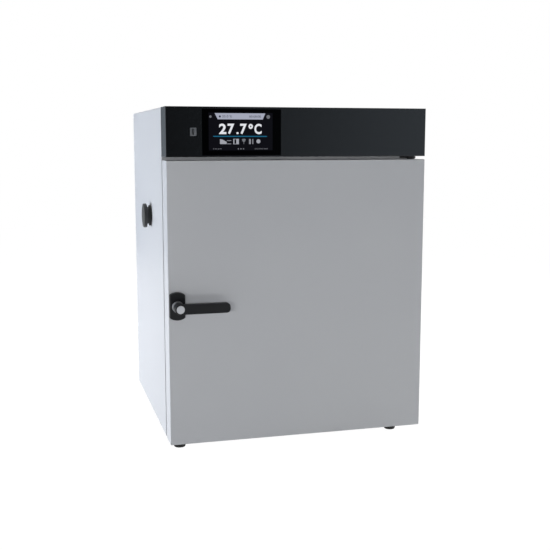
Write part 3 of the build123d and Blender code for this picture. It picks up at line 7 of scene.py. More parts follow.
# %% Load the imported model
import math

import bmesh
import bpy
from mathutils import Matrix, Vector


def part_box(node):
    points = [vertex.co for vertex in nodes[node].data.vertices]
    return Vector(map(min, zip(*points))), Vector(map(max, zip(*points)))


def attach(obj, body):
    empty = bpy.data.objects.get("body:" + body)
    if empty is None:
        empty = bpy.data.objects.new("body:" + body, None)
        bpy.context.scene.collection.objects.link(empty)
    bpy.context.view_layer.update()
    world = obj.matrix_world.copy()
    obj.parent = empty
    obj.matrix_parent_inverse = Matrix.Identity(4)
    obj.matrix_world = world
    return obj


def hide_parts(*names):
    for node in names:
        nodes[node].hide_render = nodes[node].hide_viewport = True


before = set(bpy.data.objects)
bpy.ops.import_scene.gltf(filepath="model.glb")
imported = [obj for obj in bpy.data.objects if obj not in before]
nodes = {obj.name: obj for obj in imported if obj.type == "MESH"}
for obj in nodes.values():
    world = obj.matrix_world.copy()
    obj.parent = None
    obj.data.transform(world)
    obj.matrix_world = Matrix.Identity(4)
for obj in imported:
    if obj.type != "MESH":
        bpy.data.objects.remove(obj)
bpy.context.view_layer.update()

# %% [markdown]
# The camera stands where the photographer stood: in front, a little to the left, and just
# below the height of the oven's top. Its place was solved from the corners of door and panel,
# so edges in the render fall on the edges in the photograph. A long lens keeps the door's
# sides nearly parallel, as product pictures do.

# %% Camera
camera_data = bpy.data.cameras.new("photo_camera")
camera_data.sensor_width = 36.0
camera_data.lens = 60.45
camera = bpy.data.objects.new("photo_camera", camera_data)
bpy.context.scene.collection.objects.link(camera)
camera.location = (-0.63585, -2.45241, 0.77125)
camera.rotation_euler = (math.radians(81.721), 0.0, math.radians(-15.167))
bpy.context.scene.camera = camera
bpy.context.scene.view_settings.view_transform = "Standard"
print("camera stands", round(camera.location.length, 2), "m from the middle of the floor")

# %% [markdown]
# Surfaces need more than a colour. Each effect that several finishes share is made once as
# a node group that gives out values only: a height for the bump, and a tone that varies from
# place to place. The shader itself stays in the material, where its numbers are easy to find.
# All patterns read Object coordinates, so they stay put when a door or shelf moves.


# %% Helpers for node groups
def new_group(name, inputs, outputs):
    """An empty node group; inputs maps names to defaults, outputs lists names of values."""
    group = bpy.data.node_groups.new(name, "ShaderNodeTree")
    for label, default in inputs.items():
        socket = group.interface.new_socket(label, in_out="INPUT", socket_type="NodeSocketFloat")
        socket.default_value = default
    for label in outputs:
        group.interface.new_socket(label, in_out="OUTPUT", socket_type="NodeSocketFloat")
    entry = group.nodes.new("NodeGroupInput")
    leave = group.nodes.new("NodeGroupOutput")
    return group, entry, leave


def add_noise(tree, vector, detail, roughness=0.5):
    """A 3-D noise texture fed by a vector socket."""
    noise = tree.nodes.new("ShaderNodeTexNoise")
    noise.inputs["Detail"].default_value = detail
    noise.inputs["Roughness"].default_value = roughness
    tree.links.new(vector, noise.inputs["Vector"])
    return noise


def add_math(tree, operation, first, second):
    """A Math node; either value may be a socket or a number."""
    node = tree.nodes.new("ShaderNodeMath")
    node.operation = operation
    for socket, value in zip(node.inputs, (first, second)):
        if isinstance(value, (int, float)):
            socket.default_value = value
        else:
            tree.links.new(value, socket)
    return node.outputs["Value"]


# %% [markdown]
# Powder coat is paint that was sprayed as dust and melted in an oven. Seen close up it has
# the skin of an orange: low bumps about a millimetre apart, with finer ones between them.
# Two noises of different size make that skin. A third, very large one stands for the slight
# unevenness that any sprayed sheet has.

# %% Powder coat skin
fine_bump_ratio = 3.3  # fine bumps for each coarse one, along a line
fine_bump_share = 0.35
cloud_scale = 2.2
powder_skin, entry, leave = new_group("powder_skin", {"Bumps per metre": 900.0}, ("Height", "Tone"))
place = powder_skin.nodes.new("ShaderNodeTexCoord").outputs["Object"]
coarse = add_noise(powder_skin, place, 1.0)
fine = add_noise(powder_skin, place, 2.0)
cloud = add_noise(powder_skin, place, 2.0)
cloud.inputs["Scale"].default_value = cloud_scale
powder_skin.links.new(entry.outputs["Bumps per metre"], coarse.inputs["Scale"])
fine_scale = add_math(powder_skin, "MULTIPLY", entry.outputs["Bumps per metre"], fine_bump_ratio)
powder_skin.links.new(fine_scale, fine.inputs["Scale"])
fine_height = add_math(powder_skin, "MULTIPLY", fine.outputs["Fac"], fine_bump_share)
skin_height = add_math(powder_skin, "ADD", coarse.outputs["Fac"], fine_height)
powder_skin.links.new(skin_height, leave.inputs["Height"])
powder_skin.links.new(cloud.outputs["Fac"], leave.inputs["Tone"])
print("group powder_skin has", len(powder_skin.nodes), "nodes")

# %% [markdown]
# Moulded plastic and rubber copy the skin of their mould, a fine spark-eroded grain. A noise
# with much detail gives that grain, and a slower noise makes some spots a little duller, as
# if hands had polished the rest.

# %% Moulded grain
polish_scale = 35.0
moulded_grain, entry, leave = new_group(
    "moulded_grain",
    {"Grains per metre": 2500.0},
    ("Height", "Tone"),
)
place = moulded_grain.nodes.new("ShaderNodeTexCoord").outputs["Object"]
grain = add_noise(moulded_grain, place, 6.0, 0.65)
polish = add_noise(moulded_grain, place, 3.0)
polish.inputs["Scale"].default_value = polish_scale
moulded_grain.links.new(entry.outputs["Grains per metre"], grain.inputs["Scale"])
moulded_grain.links.new(grain.outputs["Fac"], leave.inputs["Height"])
moulded_grain.links.new(polish.outputs["Fac"], leave.inputs["Tone"])
print("group moulded_grain has", len(moulded_grain.nodes), "nodes")

# %% [markdown]
# Stainless sheet is ground in one direction, which leaves long scratches side by side. A
# noise that is squeezed across the scratches and stretched along them looks the same. How
# far it is stretched along each axis is an input, because the grind runs along the sheet.

# %% Ground lines
smear_scale = 9.0
ground_lines, entry, leave = new_group(
    "ground_lines",
    {"Along X": 1500.0, "Along Y": 1500.0, "Along Z": 20.0},
    ("Height", "Tone"),
)
place = ground_lines.nodes.new("ShaderNodeTexCoord").outputs["Object"]
squeeze = ground_lines.nodes.new("ShaderNodeCombineXYZ")
stretch = ground_lines.nodes.new("ShaderNodeVectorMath")
stretch.operation = "MULTIPLY"
for label, socket in zip(("Along X", "Along Y", "Along Z"), squeeze.inputs):
    ground_lines.links.new(entry.outputs[label], socket)
ground_lines.links.new(place, stretch.inputs[0])
ground_lines.links.new(squeeze.outputs["Vector"], stretch.inputs[1])
scratch = add_noise(ground_lines, stretch.outputs["Vector"], 3.0, 0.6)
scratch.inputs["Scale"].default_value = 1.0
smear = add_noise(ground_lines, place, 2.0)
smear.inputs["Scale"].default_value = smear_scale
ground_lines.links.new(scratch.outputs["Fac"], leave.inputs["Height"])
ground_lines.links.new(smear.outputs["Fac"], leave.inputs["Tone"])
print("group ground_lines has", len(ground_lines.nodes), "nodes")


# %% [markdown]
# One function puts a finish together, because all of them are built the same way: the tone
# moves the base colour between two near shades and makes the gloss uneven, and the height
# drives a bump. What differs is the numbers. Constant values, such as the coat on glossy
# paint, are written on the shader's own sockets.


# %% Helper for finishes
noise_low = 0.3
noise_high = 0.7


def linear(red, green, blue):
    """A screen colour from 0 to 255, as the linear values that a shader reads."""
    channels = []
    for value in (red, green, blue):
        share = value / 255
        channels.append(share / 12.92 if share <= 0.04045 else ((share + 0.055) / 1.055) ** 2.4)
    return (*channels, 1.0)


def map_range(tree, value, low, high):
    """Maps a noise value, which stays near one half, to the range from low to high."""
    node = tree.nodes.new("ShaderNodeMapRange")
    node.inputs["From Min"].default_value = noise_low
    node.inputs["From Max"].default_value = noise_high
    node.inputs["To Min"].default_value = low
    node.inputs["To Max"].default_value = high
    tree.links.new(value, node.inputs["Value"])
    return node.outputs["Result"]


def make_finish(name, colours, gloss, group, scales, bump, metal=0.0, settings=None):
    """A material: two screen colours, two roughness values, a group with its scales, a bump."""
    material = bpy.data.materials.new(name)
    material.use_nodes = True
    tree = material.node_tree
    shader = tree.nodes["Principled BSDF"]
    texture = tree.nodes.new("ShaderNodeGroup")
    texture.node_tree = group
    for label, value in scales.items():
        texture.inputs[label].default_value = value
    shade = tree.nodes.new("ShaderNodeMix")
    shade.data_type = "RGBA"
    shade.inputs["A"].default_value = linear(*colours[0])
    shade.inputs["B"].default_value = linear(*colours[1])
    tree.links.new(map_range(tree, texture.outputs["Tone"], 0.0, 1.0), shade.inputs["Factor"])
    tree.links.new(shade.outputs["Result"], shader.inputs["Base Color"])
    tree.links.new(map_range(tree, texture.outputs["Tone"], *gloss), shader.inputs["Roughness"])
    relief = tree.nodes.new("ShaderNodeBump")
    relief.inputs["Strength"].default_value = bump[0]
    relief.inputs["Distance"].default_value = bump[1]
    tree.links.new(texture.outputs["Height"], relief.inputs["Height"])
    tree.links.new(relief.outputs["Normal"], shader.inputs["Normal"])
    shader.inputs["Metallic"].default_value = metal
    for label, value in (settings or {}).items():
        shader.inputs[label].default_value = value
    return material


def wear(material, *names):
    """Gives CAD solids this finish."""
    for name in names:
        slots = nodes[name].data.materials
        slots.clear()
        slots.append(material)
    print(material.name, "on", ", ".join(names))


# %% [markdown]
# The cabinet and the door wear the same light grey powder coat. The photograph shows it
# nearly neutral with a trace of blue, satin rather than glossy, and darker on the door only
# because more light falls on the side.

# %% Powder-coated sheet
grey_paint = make_finish(
    "light_grey_powder_coat",
    ((188, 190, 194), (192, 194, 197)),
    (0.36, 0.44),
    powder_skin,
    {"Bumps per metre": 900.0},
    (0.12, 0.0004),
)
wear(grey_paint, "side_panel_left", "side_panel_right", "top_cover", "rear_cover", "base_pan")
wear(grey_paint, "front_frame", "door_shell")

# %% [markdown]
# The control panel is black and glossy enough to mirror the room. Its front shows a soft
# gradient from left to right, which comes from what stands in front of it and not from the
# paint. A coat gives the sharp mirror image, and the paint below stays a little rough.

# %% Panel, glass and socket
panel_black = make_finish(
    "gloss_black_paint",
    ((9, 11, 13), (12, 14, 16)),
    (0.16, 0.22),
    powder_skin,
    {"Bumps per metre": 500.0},
    (0.03, 0.0003),
    settings={"Coat Weight": 0.2, "Coat Roughness": 0.06},
)
screen_glass = make_finish(
    "black_touch_glass",
    ((0, 0, 1), (2, 2, 2)),
    (0.05, 0.09),
    powder_skin,
    {"Bumps per metre": 60.0},
    (0.01, 0.0002),
    settings={"Specular IOR Level": 0.05},
)
nickel = make_finish(
    "nickel_plate",
    ((150, 152, 155), (172, 173, 175)),
    (0.28, 0.4),
    moulded_grain,
    {"Grains per metre": 1800.0},
    (0.05, 0.0002),
    metal=0.9,
)
wear(panel_black, "control_panel")
wear(screen_glass, "display_glass")
wear(nickel, "data_socket")

# %% [markdown]
# Handle, switch, inlet and port are moulded parts. They differ in blackness and gloss: the
# lever is satin black, its collar a mid grey, the port's plug is silicone rubber, and the
# feet are the dullest of all.

# %% Plastics and rubber
handle_black = make_finish(
    "satin_black_plastic",
    ((13, 14, 17), (19, 20, 23)),
    (0.38, 0.5),
    moulded_grain,
    {"Grains per metre": 2400.0},
    (0.15, 0.0002),
    settings={"Specular IOR Level": 0.28},
)
collar_grey = make_finish(
    "grey_plastic",
    ((118, 120, 122), (134, 135, 137)),
    (0.4, 0.5),
    moulded_grain,
    {"Grains per metre": 2400.0},
    (0.12, 0.0002),
)
fitting_black = make_finish(
    "dull_black_plastic",
    ((20, 21, 22), (28, 29, 30)),
    (0.5, 0.62),
    moulded_grain,
    {"Grains per metre": 1900.0},
    (0.2, 0.0002),
)
plug_silicone = make_finish(
    "black_silicone",
    ((22, 24, 25), (30, 32, 34)),
    (0.42, 0.56),
    moulded_grain,
    {"Grains per metre": 1500.0},
    (0.18, 0.0003),
    settings={"Sheen Weight": 0.15, "Sheen Roughness": 0.4},
)
gasket_silicone = make_finish(
    "dark_silicone",
    ((72, 73, 76), (84, 85, 88)),
    (0.5, 0.62),
    moulded_grain,
    {"Grains per metre": 1200.0},
    (0.18, 0.0003),
    settings={"Sheen Weight": 0.2, "Sheen Roughness": 0.5},
)
foot_rubber = make_finish(
    "black_rubber",
    ((14, 14, 15), (22, 22, 23)),
    (0.65, 0.8),
    moulded_grain,
    {"Grains per metre": 1600.0},
    (0.3, 0.0003),
)
bearing_plastic = make_finish(
    "bearing_plastic",
    ((74, 75, 76), (88, 88, 90)),
    (0.35, 0.45),
    moulded_grain,
    {"Grains per metre": 2600.0},
    (0.08, 0.0002),
)
wear(handle_black, "handle_base", "handle_lever")
wear(collar_grey, "handle_collar")
wear(fitting_black, "port_flange", "power_inlet", "switch_housing", "power_rocker", "damper_knob")
wear(fitting_black, "solid_state_relay", "safety_thermostat", "display_module")
wear(plug_silicone, "port_plug")
wear(gasket_silicone, "door_gasket")
wear(foot_rubber, "foot_front_left", "foot_front_right", "foot_rear_left", "foot_rear_right")
wear(bearing_plastic, "hinge_bushes")

# %% [markdown]
# The chamber, its baffle and racks are stainless sheet with the grind running upwards, and
# the shelves are drawn wire, whose marks run from front to back. Zinc plate is softer and
# cloudier, so it has no lines but a large tone change. Metals take their colour from the
# reflection, so a metallic value of one needs a light base colour.

# %% Metals
stainless = make_finish(
    "ground_stainless_sheet",
    ((160, 160, 158), (167, 166, 164)),
    (0.36, 0.4),
    ground_lines,
    {"Along X": 1400.0, "Along Y": 1400.0, "Along Z": 14.0},
    (0.12, 0.0001),
    metal=1.0,
)
stainless_wire = make_finish(
    "drawn_stainless_wire",
    ((172, 172, 170), (182, 181, 179)),
    (0.24, 0.3),
    ground_lines,
    {"Along X": 1800.0, "Along Y": 30.0, "Along Z": 1800.0},
    (0.15, 0.0001),
    metal=1.0,
)
element_tube = make_finish(
    "heat_tinted_tube",
    ((92, 84, 78), (126, 116, 104)),
    (0.38, 0.55),
    moulded_grain,
    {"Grains per metre": 900.0},
    (0.15, 0.0002),
    metal=0.9,
)
zinc = make_finish(
    "zinc_plate",
    ((150, 153, 158), (178, 180, 182)),
    (0.3, 0.46),
    moulded_grain,
    {"Grains per metre": 700.0},
    (0.1, 0.0002),
    metal=0.95,
)
aluminium = make_finish(
    "bare_aluminium",
    ((188, 189, 191), (206, 206, 207)),
    (0.28, 0.4),
    ground_lines,
    {"Along X": 30.0, "Along Y": 1500.0, "Along Z": 1500.0},
    (0.15, 0.0002),
    metal=1.0,
)
cap_silver = make_finish(
    "silver_lacquer",
    ((186, 189, 193), (200, 202, 206)),
    (0.32, 0.38),
    moulded_grain,
    {"Grains per metre": 3000.0},
    (0.06, 0.0001),
    metal=0.35,
)
hinge_black = make_finish(
    "black_steel",
    ((24, 25, 26), (34, 35, 36)),
    (0.35, 0.5),
    powder_skin,
    {"Bumps per metre": 1400.0},
    (0.12, 0.0002),
    settings={"Coat Weight": 0.1, "Coat Roughness": 0.3},
)
wear(stainless, "chamber", "air_baffle", "baffle_studs", "shelf_rack_left", "shelf_rack_right")
wear(stainless, "door_liner", "port_tube", "exhaust_duct", "temperature_probe")
wear(stainless_wire, "shelf_upper", "shelf_lower")
wear(element_tube, "heating_elements")
wear(zinc, "electronics_tray", "motor_bracket", "power_supply", "striker_post", "latch_spindle")
wear(zinc, "latch_claw", "fan_shaft", "fan_wheel", "fan_motor", "hinge_screws")
wear(aluminium, "relay_heat_sink", "damper_flap")
wear(cap_silver, "handle_cap")
wear(hinge_black, "hinge_bracket_top", "hinge_bracket_bottom")

# %% [markdown]
# Mineral wool is a felt of stiff fibres, yellow from its binder. Close up it is all bump and
# no gloss. The circuit board needs copper tracks below green lacquer, for which a brick
# pattern turned into thin lines is close enough where only a sliver of the board shows.

# %% Wool and circuit board
mineral_wool = make_finish(
    "mineral_wool",
    ((158, 142, 92), (196, 182, 128)),
    (0.9, 1.0),
    moulded_grain,
    {"Grains per metre": 420.0},
    (0.9, 0.002),
    settings={"Sheen Weight": 0.3, "Sheen Roughness": 0.6},
)
board_green = make_finish(
    "green_board_lacquer",
    ((14, 78, 40), (22, 96, 52)),
    (0.28, 0.36),
    moulded_grain,
    {"Grains per metre": 1500.0},
    (0.05, 0.0001),
    settings={"Coat Weight": 0.5, "Coat Roughness": 0.1},
)
board_tree = board_green.node_tree
tracks = board_tree.nodes.new("ShaderNodeTexBrick")
tracks.inputs["Scale"].default_value = 120.0
tracks.inputs["Mortar Size"].default_value = 0.05
tracks.inputs["Color1"].default_value = linear(14, 78, 40)
tracks.inputs["Color2"].default_value = linear(18, 86, 46)
tracks.inputs["Mortar"].default_value = linear(40, 122, 74)
board_place = board_tree.nodes.new("ShaderNodeTexCoord")
board_turn = board_tree.nodes.new("ShaderNodeMapping")
board_turn.inputs["Rotation"].default_value = (math.pi / 2, 0.0, 0.0)
board_shader = board_tree.nodes["Principled BSDF"]
board_tree.links.new(board_place.outputs["Object"], board_turn.inputs["Vector"])
board_tree.links.new(board_turn.outputs["Vector"], tracks.inputs["Vector"])
board_tree.links.new(tracks.outputs["Color"], board_shader.inputs["Base Color"])
wear(mineral_wool, "insulation_mats", "door_insulation")
wear(board_green, "controller_board")

# %% [markdown]
# What the touch screen shows is light, not ink. Each sign is a thin plate, a tenth of a
# millimetre thick, on the face of the glass, and glows in its own colour. A reading, a
# banner and a row of simple pictures are all that the photograph lets one make out.
# Places on the screen are given as shares of its width and height, from its top left corner.

# %% Screen places and lights
glass_low, glass_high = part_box("display_glass")
left_border = 0.0153
right_border = 0.0209
lower_border = 0.0116
upper_border = 0.0087
screen_left = glass_low.x + left_border
screen_right = glass_high.x - right_border
screen_bottom = glass_low.z + lower_border
screen_top = glass_high.z - upper_border
sign_thickness = 0.0001
sign_gap = 0.00002
weld_distance = 0.000001


def glow(name, colour):
    """A material that shines in a screen colour, with a glass-like surface over it."""
    material = bpy.data.materials.new(name)
    material.use_nodes = True
    shader = material.node_tree.nodes["Principled BSDF"]
    shader.inputs["Base Color"].default_value = linear(2, 2, 3)
    shader.inputs["Roughness"].default_value = 0.08
    shader.inputs["Specular IOR Level"].default_value = 0.05
    shader.inputs["Emission Color"].default_value = linear(*colour)
    shader.inputs["Emission Strength"].default_value = 1.0
    return material


def screen_point(across, down):
    """A place on the lit screen, just in front of the glass."""
    x = screen_left + (screen_right - screen_left) * across
    z = screen_top - (screen_top - screen_bottom) * down
    return Vector((x, glass_low.y - sign_gap, z))


screen_black = glow("screen_ground", (13, 13, 18))
banner_light = glow("banner_light", (164, 168, 184))
reading_white = glow("reading_white", (226, 228, 233))
line_blue = glow("line_blue", (28, 98, 128))
icon_grey = glow("icon_grey", (160, 162, 170))
small_grey = glow("small_grey", (112, 114, 120))
banner_dark = glow("banner_dark", (44, 46, 60))
print("the lit screen is", round((screen_right - screen_left) * 1000, 1), "mm wide")


# %% [markdown]
# Signs with straight sides start from their corners, and round ones from a circle. Both are
# then extruded towards the viewer, so that each is a closed plate.


# %% Helpers for signs
def finish_piece(mesh_maker, name, material, body):
    """Turns a bmesh into an object at the origin that rides on a body."""
    bmesh.ops.remove_doubles(mesh_maker, verts=mesh_maker.verts, dist=weld_distance)
    bmesh.ops.recalc_face_normals(mesh_maker, faces=mesh_maker.faces)
    mesh = bpy.data.meshes.new(name)
    mesh_maker.to_mesh(mesh)
    mesh_maker.free()
    mesh.materials.append(material)
    piece = bpy.data.objects.new(name, mesh)
    bpy.context.scene.collection.objects.link(piece)
    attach(piece, body)
    print(name, "has", len(mesh.polygons), "faces")
    return piece


def thicken(sign, faces):
    """Extrudes flat faces towards the viewer by the thickness of a sign."""
    grown = bmesh.ops.extrude_face_region(sign, geom=faces)["geom"]
    moved = [item for item in grown if isinstance(item, bmesh.types.BMVert)]
    bmesh.ops.translate(sign, verts=moved, vec=(0.0, -sign_thickness, 0.0))


def add_outline(sign, corners):
    """A plate with straight sides through these screen places."""
    verts = [sign.verts.new(screen_point(*corner)) for corner in corners]
    thicken(sign, [sign.faces.new(verts)])


def add_bar(sign, left, top, right, bottom):
    """An upright rectangle."""
    add_outline(sign, ((left, top), (right, top), (right, bottom), (left, bottom)))


def add_dot(sign, across, down, radius):
    """A round plate; the radius is in metres."""
    place = Matrix.Translation(screen_point(across, down)) @ Matrix.Rotation(math.pi / 2, 4, "X")
    made = bmesh.ops.create_circle(sign, cap_ends=True, segments=32, radius=radius, matrix=place)
    thicken(sign, list({face for vert in made["verts"] for face in vert.link_faces}))


def add_text(sign, words, left, top, right, bottom, boldness=0.0):
    """Figures fitted into a box on the screen."""
    letters = bpy.data.curves.new("letters", "FONT")
    letters.body = words
    letters.offset = boldness
    letters.resolution_u = 4
    carrier = bpy.data.objects.new("letters", letters)
    bpy.context.scene.collection.objects.link(carrier)
    bpy.context.view_layer.update()
    flat = bpy.data.meshes.new_from_object(carrier)
    bpy.data.objects.remove(carrier)
    spots = [vert.co for vert in flat.vertices]
    low_x, high_x = min(p.x for p in spots), max(p.x for p in spots)
    low_y, high_y = min(p.y for p in spots), max(p.y for p in spots)
    lower_left, upper_right = screen_point(left, bottom), screen_point(right, top)
    wide = (upper_right.x - lower_left.x) / (high_x - low_x)
    tall = (upper_right.z - lower_left.z) / (high_y - low_y)
    along = (wide, 0.0, 0.0, lower_left.x - low_x * wide)
    away = (0.0, 0.0, 1.0, lower_left.y)
    upward = (0.0, tall, 0.0, lower_left.z - low_y * tall)
    flat.transform(Matrix((along, away, upward, (0.0, 0.0, 0.0, 1.0))))
    known = set(sign.faces)
    sign.from_mesh(flat)
    thicken(sign, [face for face in sign.faces if face not in known])


# %% [markdown]
# The ground of the screen is a shade lighter than the glass around it. On it lie the
# banner, which narrows downwards, the large reading and the blue line below it.

# %% Reading, banner and line
ground = bmesh.new()
add_bar(ground, 0.0, 0.0, 1.0, 1.0)
bmesh.ops.translate(ground, verts=ground.verts, vec=(0.0, sign_thickness, 0.0))
finish_piece(ground, "screen_ground", screen_black, "housing")

banner = bmesh.new()
add_outline(banner, ((0.096, 0.0125), (0.885, 0.0125), (0.844, 0.175), (0.142, 0.175)))
finish_piece(banner, "screen_banner", banner_light, "housing")

reading = bmesh.new()
reading_boxes = (
    ("2", 0.160, 0.289, 0.274, 0.566),
    ("7", 0.293, 0.289, 0.398, 0.566),
    (".", 0.429, 0.512, 0.466, 0.566),
    ("7", 0.488, 0.289, 0.593, 0.566),
    ("°", 0.619, 0.292, 0.690, 0.428),
    ("C", 0.712, 0.289, 0.826, 0.566),
)
for sign_text, *sign_box in reading_boxes:
    add_text(reading, sign_text, *sign_box, boldness=0.03)
finish_piece(reading, "screen_reading", reading_white, "housing")

blue_line = bmesh.new()
line_upper = ((0.064, 0.626), (0.08, 0.612), (0.90, 0.612))
line_lower = ((0.917, 0.626), (0.90, 0.64), (0.08, 0.64))
add_outline(blue_line, (*line_upper, *line_lower))
finish_piece(blue_line, "screen_line", line_blue, "housing")

# %% [markdown]
# The five pictures below the line are too small to read in the photograph, so they are
# plain ones of the usual kind: a falling curve, a door, a fan, a heater and a lit dot. The
# small writing becomes figures and dots.

# %% Pictures and small figures
pictures = bmesh.new()
add_outline(pictures, ((0.174, 0.70), (0.215, 0.71), (0.278, 0.775), (0.278, 0.83), (0.174, 0.83)))
add_bar(pictures, 0.283, 0.733, 0.349, 0.745)
add_bar(pictures, 0.283, 0.818, 0.349, 0.83)
add_bar(pictures, 0.381, 0.69, 0.398, 0.835)
add_bar(pictures, 0.400, 0.69, 0.425, 0.703)
add_bar(pictures, 0.400, 0.822, 0.425, 0.835)
add_bar(pictures, 0.427, 0.69, 0.468, 0.835)
for left_share in (0.628, 0.645, 0.682):
    add_bar(pictures, left_share, 0.695, left_share + 0.010, 0.83)
add_dot(pictures, 0.775, 0.757, 0.0049)
finish_piece(pictures, "screen_pictures", icon_grey, "housing")

fan_picture = bmesh.new()
fan_left = ((0.541, 0.79), (0.512, 0.715), (0.527, 0.69))
fan_right = ((0.563, 0.69), (0.578, 0.715), (0.549, 0.79))
add_outline(fan_picture, (*fan_left, *fan_right))
add_bar(fan_picture, 0.541, 0.797, 0.549, 0.83)
finish_piece(fan_picture, "screen_fan_picture", small_grey, "housing")

small_figures = bmesh.new()
add_text(small_figures, "10:24", 0.069, 0.94, 0.197, 0.972)
for across in (0.46, 0.50, 0.54):
    add_dot(small_figures, across, 0.957, 0.0016)
add_text(small_figures, "00:00:00", 0.716, 0.94, 0.922, 0.972)
add_dot(small_figures, 0.03, 0.105, 0.0028)
add_dot(small_figures, 0.931, 0.105, 0.0044)
finish_piece(small_figures, "screen_small_figures", small_grey, "housing")

banner_figures = bmesh.new()
add_text(banner_figures, "25.0 %", 0.21, 0.07, 0.36, 0.125)
add_dot(banner_figures, 0.175, 0.1, 0.0024)
add_text(banner_figures, "00:00:00", 0.63, 0.07, 0.815, 0.125)
in_front = (0.0, -sign_thickness - sign_gap, 0.0)
bmesh.ops.translate(banner_figures, verts=banner_figures.verts, vec=in_front)
finish_piece(banner_figures, "screen_banner_figures", banner_dark, "housing")

# %% [markdown]
# The rear cover is held by button-head screws with a six-sided socket. The CAD heads are
# plain, so these replace them: a circle is extruded and narrowed in three steps to a dome,
# and its middle is narrowed once more, brought to six sides and sunk. Their places are read
# from the CAD screws, and the middle row lies level with the middle of the door.

# %% Rear cover screws
cover_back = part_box("rear_cover")[1].y
screws_low, screws_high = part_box("rear_cover_screws")
door_low, door_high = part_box("door_shell")
head_radius = 0.0045
head_height = 0.0018
dome_steps = ((0.35, 0.98), (0.4, 0.86), (0.25, 0.62))  # shares of the height and of the radius
socket_radius = 0.0019
socket_depth = 0.7 * head_height
first_column, last_column = screws_low.x + head_radius, screws_high.x - head_radius
first_row, last_row = screws_low.z + head_radius, screws_high.z - head_radius
cover_columns = (first_column, (first_column + last_column) / 2, last_column)
cover_rows = (first_row, (door_low.z + door_high.z) / 2, last_row)
cover_middle = (cover_columns[1], cover_rows[1])


def add_button_head(screws, place):
    """A domed head with a six-sided socket that stands out to the back at a place."""
    turn = Vector((0.0, 0.0, 1.0)).rotation_difference(Vector((0.0, 1.0, 0.0)))
    before = set(screws.verts)
    made = bmesh.ops.create_circle(screws, cap_ends=True, segments=12, radius=head_radius)
    face = next(iter({face for vert in made["verts"] for face in vert.link_faces}))
    for lift, narrow in dome_steps:
        face = bmesh.ops.extrude_discrete_faces(screws, faces=[face])["faces"][0]
        bmesh.ops.translate(screws, verts=face.verts, vec=(0.0, 0.0, head_height * lift))
        across = max(vert.co.xy.length for vert in face.verts)
        size = head_radius * narrow / across
        bmesh.ops.scale(screws, verts=face.verts, vec=(size, size, 1.0))
    face = bmesh.ops.extrude_discrete_faces(screws, faces=[face])["faces"][0]
    for number, vert in enumerate(face.verts):
        reach = socket_radius if number % 2 == 0 else socket_radius * math.cos(math.pi / 6)
        vert.co.xy = vert.co.xy.normalized() * reach
    face = bmesh.ops.extrude_discrete_faces(screws, faces=[face])["faces"][0]
    bmesh.ops.translate(screws, verts=face.verts, vec=(0.0, 0.0, -socket_depth))
    fresh = [vert for vert in screws.verts if vert not in before]
    stand = Matrix.Translation(place) @ turn.to_matrix().to_4x4()
    bmesh.ops.transform(screws, verts=fresh, matrix=stand)


cover_screws = bmesh.new()
for column in cover_columns:
    for row in cover_rows:
        if (column, row) != cover_middle:
            add_button_head(cover_screws, Vector((column, cover_back, row)))
screw_name = "rear_cover_button_screws"
screw_piece = finish_piece(cover_screws, screw_name, zinc, "housing")
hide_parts("rear_cover_screws")

# %% [markdown]
# The studio is a white sweep with no visible edge. The floor and the world show white to the
# camera, and also where glass or metal mirrors them. A small share of the floor's look still
# comes from the light that falls on it, which keeps a faint shadow below the oven.


# %% Floor
floor_size = 6.0
floor_glow = 1.08
floor_glow_share = 0.92


def seen_rays(tree):
    """One for rays from the camera, from mirror images and through glass; zero for others."""
    path = tree.nodes.new("ShaderNodeLightPath")
    seen = add_math(tree, "MAXIMUM", path.outputs["Is Camera Ray"], path.outputs["Is Glossy Ray"])
    return add_math(tree, "MAXIMUM", seen, path.outputs["Is Transmission Ray"])


sweep = bmesh.new()
bmesh.ops.create_grid(sweep, x_segments=1, y_segments=1, size=floor_size)
floor_mesh = bpy.data.meshes.new("studio_floor")
sweep.to_mesh(floor_mesh)
sweep.free()
floor = bpy.data.objects.new("studio_floor", floor_mesh)
bpy.context.scene.collection.objects.link(floor)
floor_material = bpy.data.materials.new("studio_floor")
floor_material.use_nodes = True
floor_tree = floor_material.node_tree
floor_shader = floor_tree.nodes["Principled BSDF"]
floor_shader.inputs["Base Color"].default_value = (0.85, 0.85, 0.86, 1.0)
floor_shader.inputs["Roughness"].default_value = 0.9
floor_shader.inputs["Specular IOR Level"].default_value = 0.0
floor_white = floor_tree.nodes.new("ShaderNodeEmission")
floor_white.inputs["Strength"].default_value = floor_glow
floor_mix = floor_tree.nodes.new("ShaderNodeMixShader")
floor_share = add_math(floor_tree, "MULTIPLY", seen_rays(floor_tree), floor_glow_share)
floor_output = floor_tree.nodes["Material Output"]
floor_tree.links.new(floor_share, floor_mix.inputs["Fac"])
floor_tree.links.new(floor_shader.outputs["BSDF"], floor_mix.inputs[1])
floor_tree.links.new(floor_white.outputs["Emission"], floor_mix.inputs[2])
floor_tree.links.new(floor_mix.outputs["Shader"], floor_output.inputs["Surface"])
floor_mesh.materials.append(floor_material)
print("the floor is", 2 * floor_size, "m wide")

# %% [markdown]
# The world gives a weak, slightly blue light from all sides. A wide and flat lamp beside the
# camera reaches into the slit above the door, and its shadows hide behind what throws them.
# A second one at the right evens the door out. A lamp near the floor throws the lever's soft
# shadow upwards, as in the photograph, and a large one on the left brightens the side. Two
# more stand behind and at the right, so that the hidden sides can be looked at as well. No
# lamp shows in the picture or in a mirror image.

